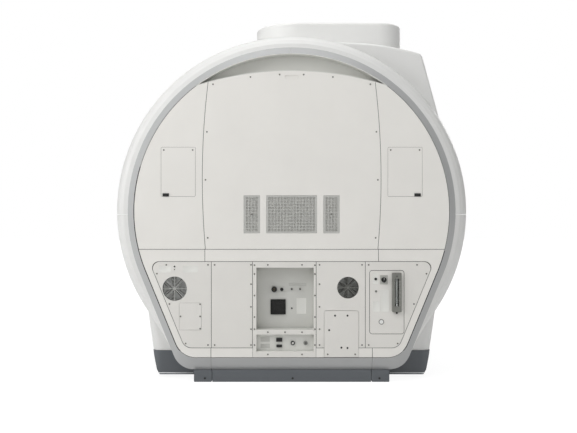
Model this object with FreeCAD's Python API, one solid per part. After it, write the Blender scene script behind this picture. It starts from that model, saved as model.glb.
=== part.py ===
import FreeCAD, Part
import math
import os

# A closed-bore magnetic resonance scanner with its patient table, seen in service from behind.
# X runs across the rear face, Y from the rear face towards the patient table, Z up.
# The origin lies on the floor, straight below the isocentre. All sizes are in millimetres.

# Magnet and bore
ISO_HEIGHT = 1026.0
BORE_RADIUS = 300.0
LINER_WALL = 10.0
GRADIENT_RADIUS = 449.5
GRADIENT_WALL = 104.5
GRADIENT_LENGTH = 1320.0
VESSEL_LENGTH = 1380.0
VESSEL_EDGE = 40.0
NECK_RADIUS = 120.0
COLD_HEAD_X = 380.0
COLD_HEAD_Y = -120.0
COLD_HEAD_RADIUS = 62.0
COLD_HEAD_HEIGHT = 230.0
FOOT_X = 400.0
FOOT_Y = 450.0
FOOT_WIDTH = 240.0
FOOT_PLATE = 25.0
SADDLE_WIDTH = 170.0
ANCHOR_HOLE_RADIUS = 11.0
ANCHOR_SPACING_Y = 728.0

# Outer covers, and the vessel and its neck that they clear
GANTRY_LENGTH = 1600.0
COVER_WALL = 6.0
COVER_RISE = 85.0
COVER_WAIST_ANGLE = 33.0
COVER_FOOT_Z = 168.0
FACE_RADIUS = 945.0
FACE_BOTTOM = 150.0
FACE_CORNER = 130.0
SIDE_LEAN = 22.4
INSET_TOP = 723.0
INSET_BOTTOM = 208.0
BAND_WIDTH = 42.0
BAND_BOTTOM = 72.0
BAND_GAP = 3.0
BAND_DEPTH = 34.0
BAND_LIP = 10.0
BAND_JOINT = 1.5
BAND_JOINT_X = -8.0
EDGE_DEPTH = 116.0
EDGE_SECTIONS = 6
SKIRT_SETBACK = 8.0
SKIRT_OVERLAP = 60.0
RING_SEAM_Z = ISO_HEIGHT - 18.0
SEAM = 3.0
FIT = 0.3
SEAT_GAP = 0.5

# Round covers outside the band, and half the face's width at the middle of the lower inset
VESSEL_MARGIN = 15.0
VESSEL_RADIUS = FACE_RADIUS - VESSEL_MARGIN
NECK_DROP = 36.0
NECK_TOP = ISO_HEIGHT + VESSEL_RADIUS - NECK_DROP
MOUTH_RADIUS = FACE_RADIUS + BAND_GAP + BAND_WIDTH
COVER_RADIUS = MOUTH_RADIUS + COVER_RISE
SIDE_DROP = (ISO_HEIGHT - (INSET_TOP + INSET_BOTTOM) / 2) * math.sin(math.radians(SIDE_LEAN))
FACE_SIDE = (FACE_RADIUS - SIDE_DROP) / math.cos(math.radians(SIDE_LEAN))
COVER_FOOT_HALF = FACE_SIDE + 70.9

# Shoulder and turret on top of the covers; a shoulder point is an angle and a rise over the round covers
SHOULDER_START = (77.193, -1.29)
SHOULDER_CREST = (63.346, 84.18)
SHOULDER_CORNER = (50.456, 190.72)
SHOULDER_CORNER_RADIUS = 41.0
SHOULDER_FOOT = (30.229, -4.42)
SHOULDER_LENGTH = 600.0
SHOULDER_EDGE = 18.0
SHOULDER_SETBACK = 3.0
SHOULDER_TIE_ANGLE = 40.0
TURRET_LEFT = -230.0
TURRET_RIGHT = 715.0
TURRET_REAR_SETBACK = 320.0
TURRET_DEPTH = 680.0
TURRET_TOP = ISO_HEIGHT + COVER_RADIUS + 133.0
TURRET_LEFT_CORNER = 280.0
TURRET_RIGHT_CORNER = 170.0
TURRET_EDGE = 14.0
TURRET_FLANGE = 45.0

# Base covers and plinth
BASE_BOTTOM = 20.0
BASE_KNEE_HALF = COVER_FOOT_HALF - 29.0
BASE_KNEE_Z = 48.0
BASE_TOE = 18.0
BASE_WALL = 8.0
BASE_INNER_HALF = COVER_FOOT_HALF - 302.0
BASE_CORNER = 60.0
PLINTH_HALF = COVER_FOOT_HALF - 274.0
PLINTH_SEAM_HALF = PLINTH_HALF - 109.0
PLINTH_SETBACK = 14.0
PLINTH_DEPTH = 40.0
PLINTH_CORNER = 6.0
PLINTH_SCREWS = (66.0 - PLINTH_HALF, 6.0, PLINTH_HALF - 60.0)
PLINTH_SCREW_Z = 22.0
PLINTH_SCREW_RADIUS = 6.5

# Rear face panels
PANEL = 6.0
FRAME_DEPTH = 20.0
FRAME_BORDER = 34.0
PANEL_SEAM_Z = 798.0
CREST_TOP = ISO_HEIGHT + FACE_RADIUS - 103.0
CREST_RADIUS = 2 * FACE_RADIUS
CREST_DEPTH = 60.0
TRAY_WALL = 4.0
CENTRE_TOP_HALF = FACE_RADIUS - 454.0
CENTRE_WAIST_HALF = FACE_RADIUS - 410.0
CENTRE_WAIST_Z = PANEL_SEAM_Z + 422.0
CENTRE_FOOT_HALF = FACE_RADIUS - 429.0
CENTRE_GRIP_WIDTH = 80.0
CENTRE_GRIP_HEIGHT = 23.0
CENTRE_GRIP_Z = CREST_TOP - 37.0
CENTRE_GRIP_DEPTH = 3.0
GRILLE_Z = PANEL_SEAM_Z + 210.0
GRILLE_HEIGHT = 228.0
GRILLE_CENTRE_WIDTH = 304.0
GRILLE_SIDE_WIDTH = 98.0
GRILLE_SIDE_X = 239.0
GRILLE_THICKNESS = 2.0
GRILLE_SETBACK = 1.5
GRILLE_BORDER = 8.0
GRILLE_PITCH = 19.0
GRILLE_HOLE = 14.0
GRILLE_MAT = 10.0
HATCH_X = FACE_RADIUS - 264.5
HATCH_Z = PANEL_SEAM_Z + 465.0
HATCH_WIDTH = 205.0
HATCH_HEIGHT = 294.0
HATCH_CORNER = 6.0
LATCH_WIDTH = 38.0
LATCH_HEIGHT = 18.0
LATCH_DEPTH = 4.0

# Lower inset and the frame of panels round it
INSET_MARGIN = 41.0
INSET_TOP_CORNER = 40.0
INSET_BOTTOM_CORNER = 62.0
SURROUND_TOP_SEAM = 521.0
SURROUND_BOTTOM_SEAM = 484.5
LEFT_FAN_X = 89.1 - FACE_SIDE
LEFT_FAN_SEAM_X = LEFT_FAN_X + 220.0
CONNECTOR_LEFT_X = -235.0
CONNECTOR_RIGHT_X = 147.0
INSTRUMENT_RIGHT = FACE_SIDE - 118.1
RIGHT_FAN_SEAM_X = INSTRUMENT_RIGHT - 231.0
OVERLAY = 3.0

# Fans
LEFT_FAN_Z = 562.0
LEFT_FAN_RADIUS = 74.0
RIGHT_FAN_X = RIGHT_FAN_SEAM_X - 104.0
RIGHT_FAN_Z = 568.0
RIGHT_FAN_RADIUS = 65.0
FAN_DEPTH = 45.0
FAN_WALL = 5.0
FAN_HUB_RADIUS = 21.0
FAN_SHAFT_RADIUS = 4.0
FAN_BLADES = 7
FAN_BLADE_TILT = 35.0
FAN_BLADE_CHORD = 34.0
FAN_BLADE_THICKNESS = 2.5
FAN_TIP_GAP = 5.0
GUARD_THICKNESS = 3.0
GUARD_SETBACK = 1.0
GUARD_RIB = 2.4
GUARD_PITCH = 8.0
GUARD_SPOKES = 4

# Hatches in the lower panels
SMALL_HATCH = (LEFT_FAN_X + 28.0, 315.0, LEFT_FAN_X + 160.0, 476.0)
LOWER_HATCH_LEFT = CONNECTOR_RIGHT_X + 49.0
LOWER_HATCH_RIGHT = RIGHT_FAN_SEAM_X - 41.0
LOWER_HATCH = (LOWER_HATCH_LEFT, 152.0, LOWER_HATCH_RIGHT, 429.0)
LOWER_HATCH_CORNER = 14.0
HATCH_HOLE_RADIUS = 6.0
HATCH_PLUG_PROUD = 0.5
HATCH_HOLES = (
    (LOWER_HATCH_LEFT + 64.0, 400.0),
    (LOWER_HATCH_RIGHT - 66.0, 400.0),
    (LOWER_HATCH_LEFT + 29.0, 313.0),
    ((LOWER_HATCH_LEFT + LOWER_HATCH_RIGHT) / 2, 208.0),
    (LOWER_HATCH_RIGHT - 66.0, 206.0),
)

# Connector recess and the strip below it
RECESS = (-212.0, 315.0, 133.0, 688.0)
RECESS_DEPTH = 80.0
STRIP = (-212.0, 185.0, 133.0, 287.0)
STRIP_DEPTH = 32.0
RECESS_WALL = 3.0
RECESS_CORNER = 6.0
FILTER_X = -82.5
FILTER_Z = 444.5
FILTER_SIZE = 92.0
FILTER_DEPTH = 8.0
FILTER_BORDER = 7.0
LARGE_PORT = (-106.0, 552.0, 17.0, 20.0)
SMALL_PORT = (-60.0, 551.0, 10.0, 16.0)
STATUS_PORT = (1.0, 436.0, 5.0, 4.0)
TOGGLE_X = (0.5, 51.5)
TOGGLE_Z = 553.0
TOGGLE_BUSH_RADIUS = 6.0
TOGGLE_BUSH = 7.0
TOGGLE_LEVER_RADIUS = 2.4
TOGGLE_TIP_RADIUS = 3.6
TOGGLE_LEVER = 24.0
TOGGLE_TILT = 14.0
STRIP_UPPER_SOCKET = (-75.0, 251.0, 36.0, 23.0)
STRIP_LOWER_SOCKET = (-75.0, 214.0, 34.0, 16.0)
STRIP_SOCKET_DEPTH = 8.0
STRIP_RING_PORT = (7.0, 231.5, 13.0, 10.0)
STRIP_ROUND_PORT = (84.0, 231.5, 12.5, 10.0)

# Instrument plate, flowmeter and controls
INSTRUMENT_PLATE = (INSTRUMENT_RIGHT - 204.0, 292.0, INSTRUMENT_RIGHT, 670.0)
INSTRUMENT_CORNER = 15.0
FLOWMETER_X = INSTRUMENT_RIGHT - 43.5
FLOWMETER_BOTTOM = 424.0
FLOWMETER_HEIGHT = 233.0
FLOWMETER_WIDTH = 55.0
FLOWMETER_PROUD = 20.0
FLOWMETER_DEPTH = 42.0
FLOWMETER_BLOCK = 34.0
FLOWMETER_CHANNEL = 26.0
TUBE_RADIUS = 9.5
TUBE_WALL = 2.5
FLOAT_HEIGHT = 12.0
VALVE_RADIUS = 5.0
VALVE_HEIGHT = 12.0
VALVE_STEM_RADIUS = 3.0
VALVE_STEM = 14.0
VALVE_FLUTES = 10
SELECTOR_X = INSTRUMENT_RIGHT - 120.0
SELECTOR_Z = 615.5
SELECTOR_PLATE_WIDTH = 46.0
SELECTOR_PLATE_HEIGHT = 55.0
SELECTOR_PLATE = 2.0
SELECTOR_RADIUS = 16.0
SELECTOR_HEIGHT = 18.0
SELECTOR_GRIP = 9.0
SELECTOR_SHAFT_RADIUS = 4.0
BUTTON_X = INSTRUMENT_RIGHT - 135.0
BUTTON_Z = 363.0
BUTTON_RADIUS = 12.0
BUTTON_PROUD = 5.0
BUTTON_RING_RADIUS = 15.6
BUTTON_RING_PROUD = 2.5
SMALL_SOCKET = (INSTRUMENT_RIGHT - 169.0, 620.0, 8.0, 4.0)
LAMP = (INSTRUMENT_RIGHT - 167.0, 546.0, 6.6, 3.0)

# Panel screws
SCREW_RADIUS = 5.0
SCREW_HEAD = 1.6
SCREW_INSET = 20.0
BOWED_SCREW_INSET = 18.0
SIDE_SCREW_ROWS = (233.0, 470.0, 652.0)
SIDE_SCREW_INSET = 14.0
TOP_SCREW_X = FACE_SIDE - 39.1
LOWER_SCREW_ROWS = (224.0, 319.0, 453.0, 589.0, 705.0)
CONNECTOR_SCREW_ROWS = (224.0, 319.0, 392.0, 521.0, 650.0, 703.0)
CONNECTOR_SCREW_COLUMNS = (-143.0, 62.0)
CONNECTOR_MIDDLE_SCREW = -40.0
CENTRE_SCREW_ROWS = (PANEL_SEAM_Z + 69.0, CENTRE_WAIST_Z - 5.0, CREST_TOP - 365.0)
CENTRE_SCREW_COLUMNS = (72.0, 247.0, CENTRE_TOP_HALF - 19.0)

# Front fascia
FLARE_RADIUS = 80.0

# Patient table
TABLE_GAP = 50.0
TABLE_LENGTH = 2350.0
TABLETOP_DROP = 155.0
TABLETOP_THICKNESS = 40.0
TABLETOP_HALF = 235.0
TABLETOP_FOOT_HALF = 205.0
TABLETOP_HOLLOW = 12.0
PAD_THICKNESS = 42.0
PAD_HALF = 212.0
PAD_CROWN_RADIUS = 2600.0
RUNNER_GAP = 0.5
BORE_FLOOR = 10.0
TABLE_FRAME_HEIGHT = 92.0
TABLE_FRAME_HALF = 240.0
TABLE_FRAME_WALL = 14.0
COLUMN_HALF = 150.0
COLUMN_LENGTH = 800.0
COLUMN_START = 1450.0
COLUMN_OVERLAP = 60.0
TABLE_BASE_TOP = 370.0
TABLE_BASE_HALF = 255.0
TABLE_BASE_LENGTH = 2000.0
TABLE_BASE_EDGE = 40.0

# Worked out from the sizes above
REAR = -GANTRY_LENGTH / 2
FRONT = GANTRY_LENGTH / 2
FACE_BACK = REAR + PANEL
FRAME_BACK = FACE_BACK + FRAME_DEPTH
BAND_BACK = REAR + BAND_DEPTH
COVER_STRAIGHT = BAND_BACK + EDGE_DEPTH
TABLETOP_Z = ISO_HEIGHT - TABLETOP_DROP
TABLETOP_BOTTOM = TABLETOP_Z - TABLETOP_THICKNESS
TABLE_START = FRONT + TABLE_GAP
VESSEL_END = VESSEL_LENGTH / 2
FAR = 4000.0


def at(x, z, y=0.0):
    """Point of the rear face plane, moved to depth y."""
    return FreeCAD.Vector(x, y, z)


def box(x0, x1, y0, y1, z0, z1):
    """Block between the given limits."""
    return Part.makeBox(x1 - x0, y1 - y0, z1 - z0, FreeCAD.Vector(x0, y0, z0))


def box_about(x, width, z0, z1):
    """Saw cut of the given width across the whole rear of the gantry."""
    return box(x - width / 2, x + width / 2, REAR, 0, z0, z1)


def rod(x, z, radius, y0, y1):
    """Round bar along Y."""
    return Part.makeCylinder(radius, y1 - y0, at(x, z, y0), FreeCAD.Vector(0, 1, 0))


def post(x, y, radius, z0, z1):
    """Round bar along Z."""
    return Part.makeCylinder(radius, z1 - z0, FreeCAD.Vector(x, y, z0))


def prism(wire, y0, y1):
    """Solid of a flat outline that lies in the plane y = 0, carried from depth y0 to y1."""
    face = Part.Face(wire)
    face.translate(FreeCAD.Vector(0, y0, 0))
    return face.extrude(FreeCAD.Vector(0, y1 - y0, 0))


def outline(start, *steps):
    """Closed outline in the plane y = 0.

    A step is an end point, or a pair of a point on an arc and its end.
    """
    edges = []
    here = start
    for step in steps:
        if isinstance(step[0], tuple):
            through, end = step
            edges.append(Part.Arc(at(*here), at(*through), at(*end)).toShape())
        else:
            end = step
            edges.append(Part.makeLine(at(*here), at(*end)))
        here = end
    if here != start:
        edges.append(Part.makeLine(at(*here), at(*start)))
    return Part.Wire(edges)


def unit(vector):
    """The same direction with a length of one."""
    return vector * (1.0 / vector.Length)


def rounded(*corners):
    """Closed outline in the plane y = 0 through corners of (x, z, radius)."""
    edges = []
    ends = []
    for i, (x, z, radius) in enumerate(corners):
        corner = at(x, z)
        back = unit(at(*corners[i - 1][:2]) - corner)
        ahead = unit(at(*corners[(i + 1) % len(corners)][:2]) - corner)
        half = back.getAngle(ahead) / 2
        entry = corner + back * (radius / math.tan(half))
        leave = corner + ahead * (radius / math.tan(half))
        if radius:
            middle = corner + unit(back + ahead) * (radius / math.sin(half) - radius)
            edges.append(Part.Arc(entry, middle, leave).toShape())
        ends.append((entry, leave))
    for i, (_, leave) in enumerate(ends):
        edges.append(Part.makeLine(leave, ends[(i + 1) % len(ends)][0]))
    return Part.Wire(Part.__sortEdges__(edges))


def window(limits, corner, grow=0.0):
    """Rounded rectangle from (x0, z0, x1, z1), grown on every side."""
    x0, z0, x1, z1 = limits
    radius = max(corner + grow, 0.0)
    return rounded(
        (x0 - grow, z0 - grow, radius),
        (x1 + grow, z0 - grow, radius),
        (x1 + grow, z1 + grow, radius),
        (x0 - grow, z1 + grow, radius),
    )


def centred(x, z, width, height):
    """Limits (x0, z0, x1, z1) of a rectangle about its centre."""
    return (x - width / 2, z - height / 2, x + width / 2, z + height / 2)


def mirrored_y(shape):
    """The same shape at the other end of the gantry."""
    return shape.mirror(FreeCAD.Vector(0, 0, 0), FreeCAD.Vector(0, 1, 0))


def mirrored_x(shape):
    """The same shape on the other side of the gantry."""
    return shape.mirror(FreeCAD.Vector(0, 0, 0), FreeCAD.Vector(1, 0, 0))


def joined(shapes):
    """One solid from touching or overlapping solids."""
    first, *others = shapes
    return first.fuse(others).removeSplitter()


def hollowed(shape, tools):
    """Shape with each tool cut out in turn."""
    for tool in tools:
        shape = shape.cut(tool)
    return shape


def turned(points, arcs=()):
    """Solid of revolution about the isocentre line, from (radius, y) points."""
    edges = []
    for i, (radius, y) in enumerate(points):
        end = points[(i + 1) % len(points)]
        start = at(radius, ISO_HEIGHT, y)
        stop = at(end[0], ISO_HEIGHT, end[1])
        if i in arcs:
            middle = at(arcs[i][0], ISO_HEIGHT, arcs[i][1])
            edges.append(Part.Arc(start, middle, stop).toShape())
        else:
            edges.append(Part.makeLine(start, stop))
    face = Part.Face(Part.Wire(edges))
    return face.revolve(at(0, ISO_HEIGHT), FreeCAD.Vector(0, 1, 0), 360)


def cover_outline(radius, bottom, corner, y=0.0):
    """Round cover edge that runs into two leaning sides and a flat bottom."""
    lean = math.radians(SIDE_LEAN)
    side_x = radius * math.cos(lean)
    side_z = ISO_HEIGHT - radius * math.sin(lean)
    foot_x = side_x - (side_z - bottom) * math.tan(lean)
    half = (math.pi / 2 + lean) / 2
    reach = corner / math.tan(half)
    entry = (foot_x + reach * math.sin(lean), bottom + reach * math.cos(lean))
    leave = (foot_x - reach, bottom)
    drop = corner / math.sin(half) - corner
    middle = (foot_x - drop * math.cos(half), bottom + drop * math.sin(half))
    wire = outline(
        (-side_x, side_z),
        ((0.0, ISO_HEIGHT + radius), (side_x, side_z)),
        entry,
        (middle, leave),
        (-leave[0], leave[1]),
        ((-middle[0], middle[1]), (-entry[0], entry[1])),
        (-side_x, side_z),
    )
    wire.translate(FreeCAD.Vector(0, y, 0))
    return wire


def face_region(y0, y1, grow=0.0):
    """Solid behind the whole rear face outline."""
    return prism(cover_outline(FACE_RADIUS + grow, FACE_BOTTOM - grow, FACE_CORNER + grow), y0, y1)


def leaning_x(radius, z):
    """Half width at height z of the leaning side that touches the given radius."""
    lean = math.radians(SIDE_LEAN)
    return (radius - (ISO_HEIGHT - z) * math.sin(lean)) / math.cos(lean)


def waist_point(radius, waist_angle):
    """Point where a round section runs into its straight wall, as (half width, height)."""
    waist = math.radians(waist_angle)
    return (radius * math.cos(waist), ISO_HEIGHT - radius * math.sin(waist))


def wall_foot(waist, foot_half):
    """Half width at the band's bottom of a wall from the waist through the covers' foot."""
    fall = (waist[0] - foot_half) / (waist[1] - COVER_FOOT_Z)
    return foot_half - fall * (COVER_FOOT_Z - BAND_BOTTOM)


def cover_section(radius, waist_angle, foot_half, y):
    """Section of the outer covers: a round top on two straight walls that run down past the covers' foot."""
    x, z = waist_point(radius, waist_angle)
    low_x = wall_foot((x, z), foot_half)
    wire = outline(
        (-x, z),
        ((0.0, ISO_HEIGHT + radius), (x, z)),
        (low_x, BAND_BOTTOM),
        (-low_x, BAND_BOTTOM),
        (-x, z),
    )
    wire.translate(FreeCAD.Vector(0, y, 0))
    return wire


def skirt_form(inset):
    """Wide foot of the covers, with a flat rear wall and rounded corners."""
    waist = waist_point(COVER_RADIUS - inset, COVER_WAIST_ANGLE)
    low_x = wall_foot(waist, COVER_FOOT_HALF - inset)
    lean = (waist[0] - low_x) / (waist[1] - BAND_BOTTOM)
    top_x, top = waist[0] + lean * SKIRT_OVERLAP, waist[1] + SKIRT_OVERLAP
    wire = outline((-top_x, top), (top_x, top), (low_x, BAND_BOTTOM), (-low_x, BAND_BOTTOM), (-top_x, top))
    y0 = COVER_STRAIGHT + SKIRT_SETBACK + inset
    block = prism(wire, y0, 0.0)
    corners = [e for e in block.Edges if e.BoundBox.YMax < y0 + FIT and e.BoundBox.ZLength > top / 2]
    return block.makeFillet(BASE_CORNER - inset, corners)


def cover_form(inset):
    """Rear half of the space inside the outer covers: a barrel with a rounded edge, on its wide foot."""
    foot = leaning_x(MOUTH_RADIUS, COVER_FOOT_Z) - inset
    sections = []
    for k in range(EDGE_SECTIONS):
        turn = math.pi / 2 * k / (EDGE_SECTIONS - 1)
        back = 1 - math.cos(turn)
        spread = math.sin(turn)
        radius = MOUTH_RADIUS + (COVER_RADIUS - MOUTH_RADIUS) * spread
        angle = SIDE_LEAN + (COVER_WAIST_ANGLE - SIDE_LEAN) * spread
        y = BAND_BACK + inset + EDGE_DEPTH * back
        sections.append(cover_section(radius - inset, angle, foot, y))
    edge = Part.makeLoft(sections, True, True)
    barrel = cover_section(COVER_RADIUS - inset, COVER_WAIST_ANGLE, foot, 0.0)
    return joined([edge, prism(barrel, COVER_STRAIGHT + inset, 0.0), skirt_form(inset)])


def cover_mouth():
    """Opening in the rear of the covers, that the band closes."""
    foot = leaning_x(MOUTH_RADIUS, COVER_FOOT_Z) - COVER_WALL
    wire = cover_section(MOUTH_RADIUS - COVER_WALL, SIDE_LEAN, foot, 0.0)
    return prism(wire, BAND_BACK - COVER_WALL, BAND_BACK + 2 * COVER_WALL)


def tie_height():
    """Height of the point inside the covers that the shoulder and the turret start from."""
    return ISO_HEIGHT + VESSEL_RADIUS * math.sin(math.radians(SHOULDER_TIE_ANGLE))


def over_covers(point):
    """Point of a section, from its angle about the isocentre and its rise over the round covers."""
    angle, rise = point
    turn = math.radians(angle)
    radius = COVER_RADIUS + rise
    return (radius * math.cos(turn), ISO_HEIGHT + radius * math.sin(turn))


def shoulder_outline(grow=0.0):
    """Outline of the shoulder that bulges from the right of the covers."""
    tie = (SHOULDER_TIE_ANGLE, VESSEL_RADIUS - COVER_RADIUS)
    start = over_covers(SHOULDER_START)
    wire = outline(
        start,
        (over_covers(SHOULDER_CREST), over_covers(SHOULDER_CORNER)),
        over_covers(SHOULDER_FOOT),
        over_covers(tie),
        start,
    )
    return wire.makeOffset2D(grow) if grow else wire


def shoulder_form(inset):
    """Shoulder volume, its rear edge rounded."""
    y0 = COVER_STRAIGHT + SHOULDER_SETBACK + inset
    block = prism(shoulder_outline(-inset), y0, y0 + SHOULDER_LENGTH - 2 * inset)
    lengthwise = [e for e in block.Edges if e.BoundBox.YLength > SHOULDER_LENGTH / 2]
    corner = max(lengthwise, key=lambda e: math.hypot(e.BoundBox.XMax, e.BoundBox.ZMax - ISO_HEIGHT))
    block = block.makeFillet(SHOULDER_CORNER_RADIUS - inset, [corner])
    if inset > 0:
        return block
    rear_edges = [e for e in block.Edges if is_shoulder_edge(e, y0)]
    return block.makeFillet(SHOULDER_EDGE, rear_edges)


def is_shoulder_edge(edge, y):
    """Whether an edge runs round the rear of the shoulder, outside the round covers."""
    box_of = edge.BoundBox
    flat_at_rear = abs(box_of.YMin - y) < FIT and abs(box_of.YMax - y) < FIT
    middle = edge.valueAt((edge.FirstParameter + edge.LastParameter) / 2)
    outside = math.hypot(middle.x, middle.z - ISO_HEIGHT) > COVER_RADIUS
    return flat_at_rear and outside


def turret_outline(grow=0.0):
    """Plan of the turret cover, as a wire in the floor plane."""
    y0 = REAR + TURRET_REAR_SETBACK
    y1 = y0 + TURRET_DEPTH
    flat = rounded(
        (TURRET_LEFT - grow, y0 - grow, TURRET_LEFT_CORNER + grow),
        (TURRET_RIGHT + grow, y0 - grow, TURRET_RIGHT_CORNER + grow),
        (TURRET_RIGHT + grow, y1 + grow, TURRET_RIGHT_CORNER + grow),
        (TURRET_LEFT - grow, y1 + grow, TURRET_LEFT_CORNER + grow),
    )
    flat.rotate(FreeCAD.Vector(0, 0, 0), FreeCAD.Vector(1, 0, 0), -90)
    return flat


def turret_block(grow, z0, z1):
    """Upright solid over the turret plan."""
    face = Part.Face(turret_outline(grow))
    face.translate(FreeCAD.Vector(0, 0, z0))
    return face.extrude(FreeCAD.Vector(0, 0, z1 - z0))


def cover_shells():
    """The five outer cover shells."""
    form = cover_form(0.0)
    hollow = cover_form(COVER_WALL)
    plain = hollowed(form, (hollow, cover_mouth()))
    plain = plain.common(box(-FAR, FAR, REAR, -SEAM / 2, COVER_FOOT_Z, FAR))
    access = turret_block(-TURRET_FLANGE, ISO_HEIGHT, FAR)
    shouldered = joined([form, shoulder_form(0.0)])
    shouldered = hollowed(shouldered, (hollow, shoulder_form(COVER_WALL), cover_mouth(), access))
    top = shouldered.common(box(-FAR, FAR, REAR, -SEAM / 2, RING_SEAM_Z + SEAM / 2, FAR))
    front = mirrored_y(plain).cut(access)
    low = RING_SEAM_Z - SEAM / 2
    return {
        "rear_cover_upper": top,
        "rear_cover_left": plain.common(box(-FAR, 0, REAR, 0, 0, low)),
        "rear_cover_right": plain.common(box(0, FAR, REAR, 0, 0, low)),
        "front_cover_left": front.common(box(-FAR, -SEAM / 2, 0, FAR, 0, FAR)),
        "front_cover_right": front.common(box(SEAM / 2, FAR, 0, FAR, 0, FAR)),
    }


def turret_cover():
    """Cap over the cold head, cut to the round covers and the shoulder."""
    base_z = tie_height()
    cap = turret_block(0.0, base_z, TURRET_TOP)
    top_edges = [e for e in cap.Edges if abs(e.BoundBox.ZMin - TURRET_TOP) < FIT]
    cap = cap.makeFillet(TURRET_EDGE, top_edges)
    hollow = turret_block(-COVER_WALL, base_z, TURRET_TOP - COVER_WALL)
    half = cover_form(-SEAT_GAP)
    shoulder_end = COVER_STRAIGHT + SHOULDER_SETBACK + SHOULDER_LENGTH + SEAT_GAP
    shoulder = prism(shoulder_outline(SEAT_GAP), COVER_STRAIGHT, shoulder_end)
    return hollowed(cap, (hollow, half, mirrored_y(half), shoulder))


def bevelled_disc(inset, y_edge, y_face):
    """Cover outline that slopes from the covers' mouth at y_edge in to the face at y_face."""
    rim = cover_outline(MOUTH_RADIUS - inset, BAND_BOTTOM + inset, FACE_CORNER, y_edge)
    face = cover_outline(FACE_RADIUS + BAND_GAP - inset, FACE_BOTTOM + inset, FACE_CORNER, y_face)
    return Part.makeLoft([face, rim], True, True)


def rear_band():
    """Sloping trim ring between the rear face and the covers, in three lengths.

    Its lip lies inside the covers' mouth.
    """
    bevel = bevelled_disc(0.0, BAND_BACK, REAR)
    nest = COVER_WALL + SEAT_GAP
    lip_wire = cover_outline(MOUTH_RADIUS - nest, BAND_BOTTOM + nest, FACE_CORNER)
    lip = prism(lip_wire, BAND_BACK, BAND_BACK + BAND_LIP)
    joints = [box_about(BAND_JOINT_X, BAND_JOINT, ISO_HEIGHT, FAR)]
    for side in (-1, 1):
        joints.append(box_about(side * SURROUND_BOTTOM_SEAM, BAND_JOINT, 0, FACE_BOTTOM + PANEL))
    face = face_region(REAR - PANEL, BAND_BACK + 2 * BAND_LIP, BAND_GAP)
    return joined([bevel, lip]).cut([face] + joints)


def front_fascia():
    """Front cover with its round opening for the bore's funnel."""
    skin = bevelled_disc(0.0, -BAND_BACK, FRONT)
    skin = skin.cut(bevelled_disc(COVER_WALL, -BAND_BACK - COVER_WALL / 4, FRONT - COVER_WALL))
    return skin.cut(rod(0, ISO_HEIGHT, BORE_RADIUS + FLARE_RADIUS + SEAT_GAP, REAR, FAR))


def bore_funnel():
    """Bell mouth between the front cover and the bore liner."""
    rim_radius = BORE_RADIUS + FLARE_RADIUS
    start = FRONT - FLARE_RADIUS
    outer = FLARE_RADIUS * math.sqrt(0.5)
    inner = (FLARE_RADIUS - COVER_WALL) * math.sqrt(0.5)
    return turned(
        [
            (BORE_RADIUS, start),
            (rim_radius, FRONT),
            (rim_radius, FRONT - COVER_WALL),
            (BORE_RADIUS + COVER_WALL, start),
        ],
        {0: (rim_radius - outer, start + outer), 2: (rim_radius - inner, start + inner)},
    )


def base_plan(inset):
    """Upright block on the plan of the left base cover, its outer corners rounded and its walls set in."""
    end = -COVER_STRAIGHT - inset
    side = -COVER_FOOT_HALF + inset
    plan = rounded(
        (side, -end, BASE_CORNER - inset),
        (0.0, -end, 0.0),
        (0.0, end, 0.0),
        (side, end, BASE_CORNER - inset),
    )
    plan.rotate(FreeCAD.Vector(0, 0, 0), FreeCAD.Vector(1, 0, 0), -90)
    return Part.Face(plan).extrude(FreeCAD.Vector(0, 0, COVER_FOOT_Z + inset))


def base_cover():
    """Left base cover: a skirting with its side, rear and front walls."""
    length = -COVER_STRAIGHT
    profile = rounded(
        (-COVER_FOOT_HALF, COVER_FOOT_Z - FIT, 0.0),
        (-BASE_KNEE_HALF, BASE_KNEE_Z, BASE_TOE),
        (-BASE_KNEE_HALF + BASE_TOE, BASE_BOTTOM, BASE_TOE / 3),
        (-BASE_INNER_HALF, BASE_BOTTOM, 0.0),
        (-BASE_INNER_HALF, COVER_FOOT_Z - FIT, 0.0),
    )
    block = prism(profile, -length, length).common(base_plan(0.0))
    inner = rounded(
        (-COVER_FOOT_HALF + BASE_WALL, COVER_FOOT_Z + BASE_WALL, 0.0),
        (-BASE_KNEE_HALF + BASE_WALL, BASE_KNEE_Z, BASE_TOE - BASE_WALL),
        (-BASE_KNEE_HALF + BASE_TOE, 0.0, 0.0),
        (0.0, 0.0, 0.0),
        (0.0, COVER_FOOT_Z + BASE_WALL, 0.0),
    )
    return block.cut(prism(inner, -length, length).common(base_plan(BASE_WALL)))


def plinth():
    """Kick plates below the band: one long and two short behind, one in front."""
    y0 = REAR + PLINTH_SETBACK
    top = BAND_BOTTOM - FIT
    y1 = y0 + PLINTH_DEPTH
    edge = PLINTH_SEAM_HALF
    rear = box(-edge + SEAM / 2, edge - SEAM / 2, y0, y1, 0, top)
    left = prism(window((-PLINTH_HALF, 0, -edge - SEAM / 2, top), PLINTH_CORNER), y0, y1)
    front = prism(window((-PLINTH_HALF, 0, PLINTH_HALF, top), PLINTH_CORNER), -y1, -y0)
    return Part.Compound([rear, left, mirrored_x(left), front])


def crest_region(y0, y1, lift=0.0):
    """Everything above the arched top edge of the upper panels."""
    sag = CREST_RADIUS - math.sqrt(CREST_RADIUS**2 - FACE_RADIUS**2)
    low = CREST_TOP + lift - sag
    wire = outline(
        (-FACE_RADIUS, low),
        ((0.0, CREST_TOP + lift), (FACE_RADIUS, low)),
        (FACE_RADIUS, FAR),
        (-FACE_RADIUS, FAR),
        (-FACE_RADIUS, low),
    )
    return prism(wire, y0, y1)


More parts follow.
